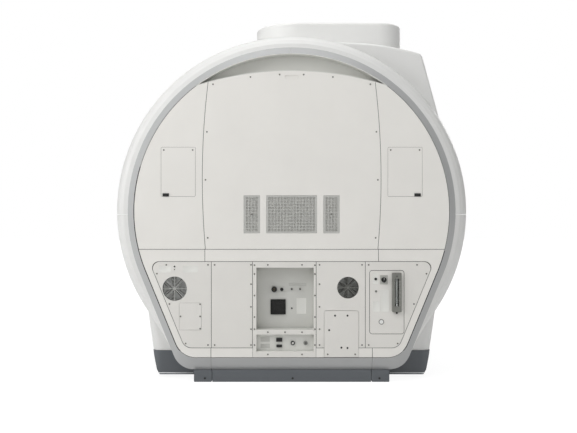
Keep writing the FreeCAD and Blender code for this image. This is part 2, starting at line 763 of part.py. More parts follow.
def crest_tray():
    """Sunken crescent between the upper panels and the band."""
    back = REAR + CREST_DEPTH
    outer = face_region(REAR, back + TRAY_WALL, BAND_GAP - FIT)
    outer = outer.common(crest_region(REAR, back + TRAY_WALL, FIT))
    hollow = face_region(REAR - TRAY_WALL, back, BAND_GAP - TRAY_WALL)
    hollow = hollow.common(crest_region(REAR - TRAY_WALL, back, TRAY_WALL))
    return outer.cut(hollow)


def centre_region(y0, y1, grow=0.0):
    """Solid behind the upper centre panel, with its bowed sides."""
    top = CREST_TOP + SEAM
    wire = outline(
        (-CENTRE_FOOT_HALF - grow, PANEL_SEAM_Z),
        ((-CENTRE_WAIST_HALF - grow, CENTRE_WAIST_Z), (-CENTRE_TOP_HALF - grow, top)),
        (CENTRE_TOP_HALF + grow, top),
        ((CENTRE_WAIST_HALF + grow, CENTRE_WAIST_Z), (CENTRE_FOOT_HALF + grow, PANEL_SEAM_Z)),
        (-CENTRE_FOOT_HALF - grow, PANEL_SEAM_Z),
    )
    return prism(wire, y0, y1)


def grille_limits():
    """Limits of the left, centre and right grille."""
    return [
        centred(-GRILLE_SIDE_X, GRILLE_Z, GRILLE_SIDE_WIDTH, GRILLE_HEIGHT),
        centred(0.0, GRILLE_Z, GRILLE_CENTRE_WIDTH, GRILLE_HEIGHT),
        centred(GRILLE_SIDE_X, GRILLE_Z, GRILLE_SIDE_WIDTH, GRILLE_HEIGHT),
    ]


def upper_centre_panel():
    """Large panel over the bore's rear end, with the grille cut-outs and a finger recess."""
    panel = centre_region(REAR, FACE_BACK)
    tools = [crest_region(REAR, FACE_BACK), box(-FAR, FAR, REAR, FACE_BACK, 0, PANEL_SEAM_Z + SEAM / 2)]
    tools += [prism(window(limits, RECESS_CORNER / 2), REAR, FACE_BACK) for limits in grille_limits()]
    grip = window(centred(0.0, CENTRE_GRIP_Z, CENTRE_GRIP_WIDTH, CENTRE_GRIP_HEIGHT), CENTRE_GRIP_HEIGHT / 3)
    tools.append(prism(grip, REAR, REAR + CENTRE_GRIP_DEPTH))
    return panel.cut(tools)


def perforated(limits):
    """Grille plate with rows of square holes."""
    x0, z0, x1, z1 = limits
    y0 = REAR + GRILLE_SETBACK
    y1 = y0 + GRILLE_THICKNESS
    plate = prism(window(limits, RECESS_CORNER / 2, -SEAT_GAP), y0, y1)
    columns = int((x1 - x0 - 2 * GRILLE_BORDER) // GRILLE_PITCH)
    rows = int((z1 - z0 - 2 * GRILLE_BORDER) // GRILLE_PITCH)
    holes = []
    for i in range(columns):
        x = (x0 + x1) / 2 + (i - (columns - 1) / 2) * GRILLE_PITCH
        for k in range(rows):
            z = (z0 + z1) / 2 + (k - (rows - 1) / 2) * GRILLE_PITCH
            half = GRILLE_HOLE / 2
            holes.append(box(x - half, x + half, y0, y1, z - half, z + half))
    return plate.cut(Part.Compound(holes))


def grilles():
    """Centre grille, the pair of side grilles, and the filter mats on the panel's back behind them."""
    left, centre, right = [perforated(limits) for limits in grille_limits()]
    mats = []
    for limits in grille_limits():
        outline_of = window(limits, RECESS_CORNER / 2, GRILLE_BORDER)
        mats.append(prism(outline_of, FACE_BACK, FACE_BACK + GRILLE_MAT))
    return {
        "grille_centre": centre,
        "grille_sides": Part.Compound([left, right]),
        "grille_filters": Part.Compound(mats),
    }


def hatch_limits(side):
    """Limits of the upper hatch on the given side, -1 left or 1 right."""
    return centred(side * HATCH_X, HATCH_Z, HATCH_WIDTH, HATCH_HEIGHT)


def upper_side_panels():
    """Panels beside the centre panel, with the holes for their hatches."""
    field = face_region(REAR, FACE_BACK)
    field = field.cut(
        [
            centre_region(REAR, FACE_BACK, SEAM),
            crest_region(REAR, FACE_BACK),
            box(-FAR, FAR, REAR, FACE_BACK, 0, PANEL_SEAM_Z + SEAM / 2),
            prism(window(hatch_limits(-1), HATCH_CORNER, SEAM / 2), REAR, FACE_BACK),
            prism(window(hatch_limits(1), HATCH_CORNER, SEAM / 2), REAR, FACE_BACK),
        ]
    )
    left = field.common(box(-FAR, 0, REAR, FACE_BACK, 0, FAR))
    right = field.common(box(0, FAR, REAR, FACE_BACK, 0, FAR))
    return {"upper_panel_left": left, "upper_panel_right": right}


def inset_region(y0, y1, grow=0.0):
    """Solid behind the lower inset of panels."""
    margin = FACE_RADIUS - INSET_MARGIN
    top = INSET_TOP + grow
    bottom = INSET_BOTTOM - grow
    top_half = leaning_x(margin + grow, top)
    foot_half = leaning_x(margin + grow, bottom)
    wire = rounded(
        (-top_half, top, INSET_TOP_CORNER),
        (top_half, top, INSET_TOP_CORNER),
        (foot_half, bottom, INSET_BOTTOM_CORNER),
        (-foot_half, bottom, INSET_BOTTOM_CORNER),
    )
    return prism(wire, y0, y1)


def connector_limits():
    """Limits of the connector frame."""
    return (CONNECTOR_LEFT_X + SEAM / 2, FACE_BOTTOM, CONNECTOR_RIGHT_X - SEAM / 2, INSET_TOP)


def surround():
    """Four pieces that frame the lower inset, the bottom one in two lengths beside the connector frame."""
    y0 = REAR
    y1 = FACE_BACK
    field = face_region(y0, y1).cut(
        [inset_region(y0, y1, SEAM), box(-FAR, FAR, y0, y1, PANEL_SEAM_Z - SEAM / 2, FAR)]
    )
    split = (INSET_TOP + INSET_BOTTOM) / 2
    half = SEAM / 2
    top = SURROUND_TOP_SEAM
    foot = SURROUND_BOTTOM_SEAM
    left_mask = joined(
        [
            box(-FAR, -top - half, y0, y1, split, PANEL_SEAM_Z),
            box(-FAR, -foot - half, y0, y1, 0, split),
        ]
    )
    upper = field.common(box(-top + half, top - half, y0, y1, split, PANEL_SEAM_Z))
    lower = field.common(box(-foot + half, foot - half, y0, y1, 0, split))
    overlays = [
        box(CONNECTOR_LEFT_X, CONNECTOR_RIGHT_X, y0, y1, 0, split),
        prism(window(LOWER_HATCH, 0.0, SEAM), y0, y0 + OVERLAY + FIT),
    ]
    return {
        "surround_top": upper,
        "surround_left": field.common(left_mask),
        "surround_right": field.common(mirrored_x(left_mask)),
        "surround_bottom": lower.cut(overlays),
    }


def inset_panel(x0, x1):
    """Panel of the lower inset between two seams."""
    piece = box(x0 + SEAM / 2, x1 - SEAM / 2, REAR, FACE_BACK, 0, FAR)
    return inset_region(REAR, FACE_BACK).common(piece)


def hatch_outline(grow=0.0):
    """Lower hatch outline with its rounded top."""
    x0, z0, x1, z1 = LOWER_HATCH
    corner = LOWER_HATCH_CORNER + grow
    return rounded(
        (x0 - grow, z0 - grow, 0.0),
        (x1 + grow, z0 - grow, 0.0),
        (x1 + grow, z1 + grow, corner),
        (x0 - grow, z1 + grow, corner),
    )


def lower_panels():
    """Panels of the lower inset, except the connector frame."""
    overlay = REAR + OVERLAY
    left = inset_panel(-FAR, LEFT_FAN_SEAM_X).cut(
        [
            rod(LEFT_FAN_X, LEFT_FAN_Z, LEFT_FAN_RADIUS, REAR, FACE_BACK),
            prism(window(SMALL_HATCH, HATCH_CORNER, SEAM / 2), REAR, overlay + FIT),
        ]
    )
    right = inset_panel(CONNECTOR_RIGHT_X, RIGHT_FAN_SEAM_X).cut(
        [
            rod(RIGHT_FAN_X, RIGHT_FAN_Z, RIGHT_FAN_RADIUS, REAR, FACE_BACK),
            prism(hatch_outline(SEAM), REAR, overlay + FIT),
        ]
    )
    carrier = inset_panel(RIGHT_FAN_SEAM_X, FAR).cut(
        prism(window(INSTRUMENT_PLATE, INSTRUMENT_CORNER, SEAM), REAR, FACE_BACK)
    )
    small = prism(window(SMALL_HATCH, HATCH_CORNER), REAR, overlay)
    large = prism(hatch_outline(), REAR, overlay)
    large = large.cut([rod(x, z, HATCH_HOLE_RADIUS, REAR, overlay) for x, z in HATCH_HOLES])
    return {
        "fan_panel_left": left,
        "blank_panel": inset_panel(LEFT_FAN_SEAM_X, CONNECTOR_LEFT_X),
        "fan_panel_right": right,
        "instrument_carrier": carrier,
        "lower_hatches": Part.Compound([small, large]),
    }


def connector_frame():
    """Frame of two stiles and three rails round the connector recess and its strip."""
    x0, z0, x1, z1 = connector_limits()
    left, low, right, high = RECESS
    bars = [box(x0, left, REAR, FACE_BACK, z0, z1), box(right, x1, REAR, FACE_BACK, z0, z1)]
    for bottom, top in ((z0, STRIP[1]), (STRIP[3], low), (high, z1)):
        bars.append(box(left, right, REAR, FACE_BACK, bottom, top))
    return Part.Compound(bars)


def tray(limits, depth):
    """Sheet metal tray behind a window of the connector frame."""
    outer = prism(window(limits, RECESS_CORNER, RECESS_WALL), FACE_BACK, FACE_BACK + depth)
    return outer.cut(prism(window(limits, RECESS_CORNER), FACE_BACK, FACE_BACK + depth - RECESS_WALL))


def rear_frame():
    """Welded frame that carries every rear panel, on stand-offs from the magnet."""
    plate = face_region(FACE_BACK, FRAME_BACK, BAND_GAP - FIT)
    keep = FRAME_BORDER
    top = CREST_TOP - 3 * keep
    upper = rounded(
        (-CENTRE_FOOT_HALF + keep, PANEL_SEAM_Z + keep, keep),
        (CENTRE_FOOT_HALF - keep, PANEL_SEAM_Z + keep, keep),
        (CENTRE_TOP_HALF - keep, top, keep),
        (-CENTRE_TOP_HALF + keep, top, keep),
    )
    windows = [prism(upper, FACE_BACK, FRAME_BACK), crest_region(FACE_BACK, FRAME_BACK)]
    for side in (-1, 1):
        windows.append(prism(window(hatch_limits(side), HATCH_CORNER, -SEAM * 4), FACE_BACK, FRAME_BACK))
    for limits in (RECESS, STRIP):
        windows.append(prism(window(limits, RECESS_CORNER, RECESS_WALL + FIT), FACE_BACK, FRAME_BACK))
    windows.append(prism(window(INSTRUMENT_PLATE, INSTRUMENT_CORNER, -SEAM * 4), FACE_BACK, FRAME_BACK))
    for x, z, radius in fan_places():
        windows.append(rod(x, z, radius + FAN_WALL + FIT, FACE_BACK, FRAME_BACK))
    frame = plate.cut(windows)
    return joined([frame] + [rod(x, z, keep / 2, FRAME_BACK, -VESSEL_END - FIT) for x, z in standoffs()])


def standoffs():
    """Places of the frame's stand-offs on the magnet's end."""
    wide = (FACE_RADIUS + CENTRE_WAIST_HALF) / 2 + FRAME_BORDER
    low = (PANEL_SEAM_Z + INSET_TOP) / 2
    high = ISO_HEIGHT + VESSEL_RADIUS / 3
    return [(-wide, low), (wide, low), (-CENTRE_WAIST_HALF, high), (CENTRE_WAIST_HALF, high)]


def fan_places():
    """Centre and radius of both fans."""
    return [
        (LEFT_FAN_X, LEFT_FAN_Z, LEFT_FAN_RADIUS),
        (RIGHT_FAN_X, RIGHT_FAN_Z, RIGHT_FAN_RADIUS),
    ]


def fan_housing(x, z, radius):
    """Round fan duct with its motor on three struts."""
    y0 = FACE_BACK
    y1 = FACE_BACK + FAN_DEPTH
    duct = rod(x, z, radius + FAN_WALL, y0, y1).cut(rod(x, z, radius - FAN_TIP_GAP / 2, y0, y1))
    motor_front = y1 - FAN_DEPTH * 0.4
    motor = rod(x, z, FAN_HUB_RADIUS, motor_front, y1)
    shaft = rod(x, z, FAN_SHAFT_RADIUS, FACE_BACK + FAN_WALL * 2, motor_front)
    parts = [duct, motor, shaft]
    for k in range(3):
        strut = box(x, x + radius, y1 - FAN_WALL, y1, z - FAN_WALL, z + FAN_WALL)
        strut.rotate(at(x, z), FreeCAD.Vector(0, 1, 0), 120 * k + 30)
        parts.append(strut)
    return joined(parts)


def fan_rotor(x, z, radius):
    """Fan wheel: a hub with tilted blades, running on the motor's shaft."""
    y0 = FACE_BACK + FAN_WALL
    y1 = FACE_BACK + FAN_DEPTH * 0.6 - 2 * FIT
    hub = rod(x, z, FAN_HUB_RADIUS, y0, y1)
    tip = radius - FAN_TIP_GAP
    blades = []
    for k in range(FAN_BLADES):
        half = FAN_BLADE_CHORD / 2
        thick = FAN_BLADE_THICKNESS / 2
        blade = box(FAN_HUB_RADIUS / 2, radius, -thick, thick, -half, half)
        blade.rotate(FreeCAD.Vector(0, 0, 0), FreeCAD.Vector(1, 0, 0), 90 - FAN_BLADE_TILT)
        blade.rotate(FreeCAD.Vector(0, 0, 0), FreeCAD.Vector(0, 1, 0), 360.0 * k / FAN_BLADES)
        blade.translate(at(x, z, (y0 + y1) / 2))
        blades.append(blade)
    space = rod(x, z, tip, y0, y1)
    wheel = joined([hub] + [blade.common(space) for blade in blades])
    bore = rod(x, z, FAN_SHAFT_RADIUS + FIT, FACE_BACK + FAN_WALL * 2 - FIT, y1)
    return wheel.cut(bore)


def fan_guard(x, z, radius):
    """Flat guard of rings and crossed spokes, set into the panel's hole."""
    y0 = REAR + GUARD_SETBACK
    y1 = y0 + GUARD_THICKNESS
    outer = radius - SEAT_GAP
    pieces = []
    count = int(outer // GUARD_PITCH)
    for k in range(count):
        ring = outer - k * GUARD_PITCH
        pieces.append(rod(x, z, ring, y0, y1).cut(rod(x, z, ring - GUARD_RIB, y0, y1)))
    for k in range(GUARD_SPOKES):
        reach = outer - GUARD_RIB / 2
        spoke = box(x - reach, x + reach, y0, y1, z - GUARD_RIB / 2, z + GUARD_RIB / 2)
        spoke.rotate(at(x, z), FreeCAD.Vector(0, 1, 0), 180.0 * k / GUARD_SPOKES)
        pieces.append(spoke)
    return joined(pieces)


def fans():
    """Both fans: housings and guards as pairs, and a rotor each."""
    left, right = fan_places()
    return {
        "fan_housings": Part.Compound([fan_housing(*left), fan_housing(*right)]),
        "fan_rotor_left": fan_rotor(*left),
        "fan_rotor_right": fan_rotor(*right),
        "fan_guards": Part.Compound([fan_guard(*left), fan_guard(*right)]),
    }


def recess_back():
    """Depth of the recess tray's inner back face."""
    return FACE_BACK + RECESS_DEPTH - RECESS_WALL


def strip_back():
    """Depth of the strip tray's inner back face."""
    return FACE_BACK + STRIP_DEPTH - RECESS_WALL


def recess_filter():
    """Square filter mat in its frame, on the back of the recess."""
    limits = centred(FILTER_X, FILTER_Z, FILTER_SIZE, FILTER_SIZE)
    y1 = recess_back()
    frame = prism(window(limits, RECESS_CORNER / 2), y1 - FILTER_DEPTH, y1)
    sunk = window(limits, RECESS_CORNER / 2, -FILTER_BORDER)
    return frame.cut(prism(sunk, y1 - FILTER_DEPTH, y1 - FILTER_DEPTH / 2))


def port(place, back):
    """Round bulkhead port with a sunken middle, standing out from a back face."""
    x, z, radius, height = place
    body = rod(x, z, radius, back - height, back)
    return body.cut(rod(x, z, radius * 0.55, back - height, back - height / 2))


def block_socket(place, back):
    """Rectangular socket with a sunken slot."""
    x, z, width, height = place
    body = prism(window(centred(x, z, width, height), 2.0), back - STRIP_SOCKET_DEPTH, back)
    slot = window(centred(x, z, width * 0.7, height * 0.4), 0.0)
    return body.cut(prism(slot, back - STRIP_SOCKET_DEPTH, back - STRIP_SOCKET_DEPTH / 2))


def latch(side):
    """Small dark latch block at the lower outer corner of an upper hatch."""
    x = side * (HATCH_X + (HATCH_WIDTH - LATCH_WIDTH) / 2 - HATCH_CORNER * 1.5)
    z = HATCH_Z - (HATCH_HEIGHT - LATCH_HEIGHT) / 2
    return prism(window(centred(x, z, LATCH_WIDTH, LATCH_HEIGHT), 2.0), REAR - LATCH_DEPTH, REAR)


def dark_fittings():
    """Fixed dark fittings: ports, sockets, toggle bushes, hatch latches, hatch plugs and plinth screws."""
    back = recess_back()
    pieces = [port(place, back) for place in (LARGE_PORT, SMALL_PORT, STATUS_PORT)]
    for x in TOGGLE_X:
        bush = rod(x, TOGGLE_Z, TOGGLE_BUSH_RADIUS, back - TOGGLE_BUSH, back)
        slot = box(
            x - TOGGLE_LEVER_RADIUS - FIT,
            x + TOGGLE_LEVER_RADIUS + FIT,
            back - TOGGLE_BUSH,
            back - FIT,
            TOGGLE_Z - TOGGLE_BUSH_RADIUS * 0.75,
            TOGGLE_Z + TOGGLE_BUSH_RADIUS * 0.75,
        )
        pieces.append(bush.cut(slot))
    for place in (STRIP_UPPER_SOCKET, STRIP_LOWER_SOCKET):
        pieces.append(block_socket(place, strip_back()))
    for place in (STRIP_RING_PORT, STRIP_ROUND_PORT):
        pieces.append(port(place, strip_back()))
    pieces += [latch(-1), latch(1)]
    for x, z in HATCH_HOLES:
        pieces.append(rod(x, z, HATCH_HOLE_RADIUS - FIT, REAR - HATCH_PLUG_PROUD, REAR + OVERLAY))
    face = REAR + PLINTH_SETBACK
    for x in PLINTH_SCREWS:
        pieces.append(rod(x, PLINTH_SCREW_Z, PLINTH_SCREW_RADIUS, face - SCREW_HEAD, face))
    return Part.Compound(pieces)


def toggle(x):
    """Toggle lever that rocks in its bush, thrown up."""
    pivot = recess_back() - TOGGLE_BUSH / 2
    lever = Part.makeCone(
        TOGGLE_LEVER_RADIUS * 0.8,
        TOGGLE_TIP_RADIUS,
        TOGGLE_LEVER,
        at(x, TOGGLE_Z, pivot),
        FreeCAD.Vector(0, -1, 0),
    )
    tip = Part.makeCone(
        TOGGLE_TIP_RADIUS,
        TOGGLE_TIP_RADIUS / 2,
        TOGGLE_TIP_RADIUS / 2,
        at(x, TOGGLE_Z, pivot - TOGGLE_LEVER),
        FreeCAD.Vector(0, -1, 0),
    )
    half = TOGGLE_LEVER_RADIUS * 0.45
    heel = Part.makeCylinder(
        TOGGLE_LEVER_RADIUS, 2 * half, at(x - half, TOGGLE_Z, pivot), FreeCAD.Vector(1, 0, 0)
    )
    thrown = joined([lever, tip, heel])
    thrown.rotate(at(x, TOGGLE_Z, pivot), FreeCAD.Vector(1, 0, 0), -TOGGLE_TILT)
    return thrown


def instrument_plate():
    """Plate with the flowmeter opening and the holes for its controls."""
    plate = prism(window(INSTRUMENT_PLATE, INSTRUMENT_CORNER), REAR, FACE_BACK)
    return plate.cut(
        [
            prism(window(flowmeter_limits(), 2.0, SEAT_GAP), REAR, FACE_BACK),
            rod(SELECTOR_X, SELECTOR_Z, SELECTOR_SHAFT_RADIUS + FIT, REAR, FACE_BACK),
            rod(BUTTON_X, BUTTON_Z, BUTTON_RADIUS + FIT, REAR, FACE_BACK),
        ]
    )


def flowmeter_limits():
    """Limits of the flowmeter block."""
    centre_z = FLOWMETER_BOTTOM + FLOWMETER_HEIGHT / 2
    return centred(FLOWMETER_X, centre_z, FLOWMETER_WIDTH, FLOWMETER_HEIGHT)


def flowmeter():
    """Flowmeter: block, glass tube, float and needle valve knob."""
    y0 = REAR - FLOWMETER_PROUD
    y1 = y0 + FLOWMETER_DEPTH
    low = FLOWMETER_BOTTOM + FLOWMETER_BLOCK
    high = FLOWMETER_BOTTOM + FLOWMETER_HEIGHT - FLOWMETER_BLOCK
    half = FLOWMETER_CHANNEL / 2
    tube_y = y0 + half
    x = FLOWMETER_X
    block = prism(window(flowmeter_limits(), 2.0), y0, y1)
    channel = box(x - half, x + half, y0, y0 + FLOWMETER_CHANNEL, low, high)
    stem_top = FLOWMETER_BOTTOM + VALVE_STEM
    stem_hole = post(x, tube_y, VALVE_STEM_RADIUS + FIT, FLOWMETER_BOTTOM, stem_top + FIT)
    tube = post(x, tube_y, TUBE_RADIUS, low + FIT, high - FIT)
    tube = tube.cut(post(x, tube_y, TUBE_RADIUS - TUBE_WALL, low, high))
    float_radius = TUBE_RADIUS - TUBE_WALL - FIT
    float_body = post(x, tube_y, float_radius, low + FIT, low + FIT + FLOAT_HEIGHT)
    knob_top = FLOWMETER_BOTTOM - 2 * FIT
    knob = post(x, tube_y, VALVE_RADIUS, knob_top - VALVE_HEIGHT, knob_top)
    flutes = []
    for k in range(VALVE_FLUTES):
        turn = 2 * math.pi * k / VALVE_FLUTES
        flute_x = x + VALVE_RADIUS * math.cos(turn)
        flute_y = tube_y + VALVE_RADIUS * math.sin(turn)
        flutes.append(post(flute_x, flute_y, VALVE_RADIUS / 8, knob_top - VALVE_HEIGHT, knob_top))
    stem = post(x, tube_y, VALVE_STEM_RADIUS, knob_top - VALVE_HEIGHT / 2, stem_top)
    return {
        "flowmeter_body": block.cut([channel, stem_hole]),
        "flowmeter_tube": tube,
        "flowmeter_float": float_body,
        "flowmeter_valve": joined([knob.cut(flutes), stem]),
    }


def selector_knob():
    """Rotary selector with a pointer grip on a round skirt."""
    y1 = REAR - SELECTOR_PLATE - FIT
    y0 = y1 - SELECTOR_HEIGHT
    skirt = rod(SELECTOR_X, SELECTOR_Z, SELECTOR_RADIUS, y1 - SELECTOR_HEIGHT / 3, y1)
    grip = prism(
        window(centred(SELECTOR_X, SELECTOR_Z, SELECTOR_GRIP, 2 * SELECTOR_RADIUS), SELECTOR_GRIP / 3), y0, y1
    )
    shaft = rod(SELECTOR_X, SELECTOR_Z, SELECTOR_SHAFT_RADIUS, y0 + SELECTOR_HEIGHT / 2, FACE_BACK)
    return joined([skirt, grip.common(rod(SELECTOR_X, SELECTOR_Z, SELECTOR_RADIUS, y0, y1)), shaft])


def push_button():
    """Round push button that slides through the instrument plate."""
    cap = rod(BUTTON_X, BUTTON_Z, BUTTON_RADIUS, REAR - BUTTON_PROUD, FACE_BACK)
    edges = [e for e in cap.Edges if abs(e.BoundBox.YMax - REAR + BUTTON_PROUD) < FIT]
    return cap.makeChamfer(1.0, edges)


def instrument_fittings():
    """Fixed fittings of the instrument plate: selector plate, button ring, small socket and lamp."""
    limits = centred(SELECTOR_X, SELECTOR_Z, SELECTOR_PLATE_WIDTH, SELECTOR_PLATE_HEIGHT)
    plate = prism(window(limits, 2.0), REAR - SELECTOR_PLATE, REAR)
    plate = plate.cut(rod(SELECTOR_X, SELECTOR_Z, SELECTOR_SHAFT_RADIUS + FIT, REAR - SELECTOR_PLATE, REAR))
    ring = rod(BUTTON_X, BUTTON_Z, BUTTON_RING_RADIUS, REAR - BUTTON_RING_PROUD, REAR)
    ring = ring.cut(rod(BUTTON_X, BUTTON_Z, BUTTON_RADIUS + FIT, REAR - BUTTON_RING_PROUD, REAR))
    return Part.Compound([plate, ring, port(SMALL_SOCKET, REAR), port(LAMP, REAR)])


def bowed_half(z):
    """Half width of the upper centre panel at height z, with its sides taken as parabolas."""
    drop = (CENTRE_WAIST_HALF - CENTRE_FOOT_HALF) / (CENTRE_WAIST_Z - PANEL_SEAM_Z) ** 2
    return CENTRE_WAIST_HALF - drop * (z - CENTRE_WAIST_Z) ** 2


def screw_places():
    """Centres of the panel screws, as (x, z)."""
    places = []
    for x in CENTRE_SCREW_COLUMNS:
        z = CREST_TOP - CREST_RADIUS + math.sqrt(CREST_RADIUS**2 - x**2) - SCREW_INSET
        places += [(-x, z), (x, z)]
    for z in CENTRE_SCREW_ROWS:
        x = bowed_half(z) - BOWED_SCREW_INSET
        places += [(-x, z), (x, z)]
    for side in (-1, 1):
        x0, _, x1, z1 = hatch_limits(side)
        inset = SCREW_INSET * 0.8
        places += [(x0 + inset, z1 - inset), (x1 - inset, z1 - inset)]
    low, *_, high = LOWER_SCREW_ROWS
    for x in (LEFT_FAN_SEAM_X, RIGHT_FAN_SEAM_X):
        places += [(x + dx, z) for dx in (-SCREW_INSET, SCREW_INSET) for z in (low, high)]
    for z in LOWER_SCREW_ROWS:
        places += [(CONNECTOR_LEFT_X - SEAM * 3, z), (CONNECTOR_RIGHT_X + SCREW_INSET, z)]
    for z in CONNECTOR_SCREW_ROWS:
        places += [(CONNECTOR_LEFT_X + SEAM * 4, z), (CONNECTOR_RIGHT_X - SEAM * 2.5, z)]
    between = (RECESS[1] + STRIP[3]) / 2
    for x in CONNECTOR_SCREW_COLUMNS:
        places += [(x, high), (x, between), (x, (STRIP[1] + FACE_BOTTOM) / 2)]
    places.append((CONNECTOR_MIDDLE_SCREW, between))
    x0, z0, x1, z1 = SMALL_HATCH
    inset = HATCH_CORNER * 1.2
    places += [(x0 + inset, (z0 + z1) / 2), (x1 - inset, (z0 + z1) / 2)]
    places += [(x1 - inset, z0 + inset), (x1 - inset, z1 - inset)]
    x0, z0, x1, _ = LOWER_HATCH
    places += [(x0 + SCREW_INSET, z0 + SCREW_INSET * 0.8), (x1 - SCREW_INSET, z0 + SCREW_INSET * 0.8)]
    for z in SIDE_SCREW_ROWS:
        x = leaning_x(FACE_RADIUS - INSET_MARGIN - SIDE_SCREW_INSET, z)
        places += [(-x, z), (x, z)]
    return places + [(-TOP_SCREW_X, high), (TOP_SCREW_X, high)]


def panel_screws():
    """Raised screw heads on the panels and in the middle of the side grilles."""
    heads = [rod(x, z, SCREW_RADIUS, REAR - SCREW_HEAD, REAR) for x, z in screw_places()]
    for x in (-GRILLE_SIDE_X, GRILLE_SIDE_X):
        heads.append(rod(x, GRILLE_Z, SCREW_RADIUS, REAR, REAR + GRILLE_SETBACK))
    return Part.Compound(heads)


def magnet_vessel():
    """Cryostat with its service neck."""
    inner = GRADIENT_RADIUS + SEAT_GAP
    end = VESSEL_END
    edge = VESSEL_EDGE
    body = turned(
        [
            (inner, -end),
            (VESSEL_RADIUS - edge, -end),
            (VESSEL_RADIUS, -end + edge),
            (VESSEL_RADIUS, end - edge),
            (VESSEL_RADIUS - edge, end),
            (inner, end),
        ]
    )
    neck = post(COLD_HEAD_X, COLD_HEAD_Y, NECK_RADIUS, ISO_HEIGHT + VESSEL_RADIUS / 2, NECK_TOP)
    bore = rod(0, ISO_HEIGHT, inner, -end, end)
    return joined([body, neck]).cut(bore)


def cold_head():
    """Cold head on the service neck, with its flange and motor."""
    flange = post(COLD_HEAD_X, COLD_HEAD_Y, COLD_HEAD_RADIUS * 1.5, NECK_TOP, NECK_TOP + 20)
    body = post(COLD_HEAD_X, COLD_HEAD_Y, COLD_HEAD_RADIUS, NECK_TOP, NECK_TOP + COLD_HEAD_HEIGHT)
    motor = box(
        COLD_HEAD_X - COLD_HEAD_RADIUS,
        COLD_HEAD_X + COLD_HEAD_RADIUS * 2.2,
        COLD_HEAD_Y - COLD_HEAD_RADIUS * 0.8,
        COLD_HEAD_Y + COLD_HEAD_RADIUS * 0.8,
        NECK_TOP + COLD_HEAD_HEIGHT * 0.55,
        NECK_TOP + COLD_HEAD_HEIGHT,
    )
    return joined([flange, body, motor])


def gradient_coil():
    """Gradient coil tube between the magnet and the bore liner, with the two rings that hold the liner."""
    half = GRADIENT_LENGTH / 2
    outer = rod(0, ISO_HEIGHT, GRADIENT_RADIUS, -half, half)
    hollow = rod(0, ISO_HEIGHT, GRADIENT_RADIUS - GRADIENT_WALL, LINER_WALL - half, half - LINER_WALL)
    return outer.cut([hollow, rod(0, ISO_HEIGHT, BORE_RADIUS + LINER_WALL + SEAT_GAP, -half, half)])


def bore_liner():
    """Bore tube with its flat floor for the tabletop."""
    y0 = FRAME_BACK + COVER_WALL * 2
    y1 = FRONT - FLARE_RADIUS - FIT
    tube = rod(0, ISO_HEIGHT, BORE_RADIUS + LINER_WALL, y0, y1)
    floor_top = TABLETOP_BOTTOM - RUNNER_GAP
    hollow = rod(0, ISO_HEIGHT, BORE_RADIUS, y0, y1)
    floor = hollow.common(box(-FAR, FAR, y0, y1, floor_top - BORE_FLOOR, floor_top))
    return tube.cut(hollow.cut(floor))


def magnet_feet():
    """Four feet with anchor plates and saddles under the magnet."""
    feet = []
    for sx in (-1, 1):
        for sy in (-1, 1):
            x = sx * FOOT_X
            y = sy * FOOT_Y
            half = FOOT_WIDTH / 2
            plate = box(x - half, x + half, y - half, y + half, 0, FOOT_PLATE)
            saddle_half = SADDLE_WIDTH / 2
            saddle = box(
                x - saddle_half,
                x + saddle_half,
                y - saddle_half / 2,
                y + saddle_half / 2,
                FOOT_PLATE,
                ISO_HEIGHT / 2,
            )
            foot = joined([plate, saddle])
            anchor = post(x, sy * ANCHOR_SPACING_Y / 2, ANCHOR_HOLE_RADIUS, 0, FOOT_PLATE)
            feet.append(foot.cut([rod(0, ISO_HEIGHT, VESSEL_RADIUS + FIT, -FAR, FAR), anchor]))
    return Part.Compound(feet)


def table_base():
    """Table base that stands against the fascia, with the lift's sleeve."""
    y0 = FRONT + FIT
    y1 = FRONT + TABLE_BASE_LENGTH
    half = TABLE_BASE_HALF
    body = box(-half, half, y0, y1, 0, TABLE_BASE_TOP)
    tall = [e for e in body.Edges if e.BoundBox.ZLength > TABLE_BASE_TOP / 2]
    upright = [e for e in tall if e.BoundBox.YMin > FRONT + half]
    body = body.makeFillet(TABLE_BASE_EDGE, upright)
    column = COLUMN_HALF + FIT
    sleeve = box(
        -column, column, COLUMN_START - FIT, COLUMN_START + COLUMN_LENGTH + FIT, FIT * 10, TABLE_BASE_TOP
    )
    toe = box(-FAR, FAR, y0 + TABLE_GAP, FAR, -1, 60)
    toe = toe.cut(box(-half + 30, half - 30, y0, y1 - 30, -1, 61))
    return body.cut([sleeve, toe])


def table_column():
    """Inner lift column with its head plate under the table frame."""
    top = TABLETOP_BOTTOM - RUNNER_GAP - TABLE_FRAME_HEIGHT
    bottom = TABLE_BASE_TOP - COLUMN_OVERLAP
    column = box(-COLUMN_HALF, COLUMN_HALF, COLUMN_START, COLUMN_START + COLUMN_LENGTH, bottom, top)
    upright = [e for e in column.Edges if e.BoundBox.ZLength > top / 2 - bottom / 2]
    return column.makeFillet(TABLE_FRAME_WALL, upright)


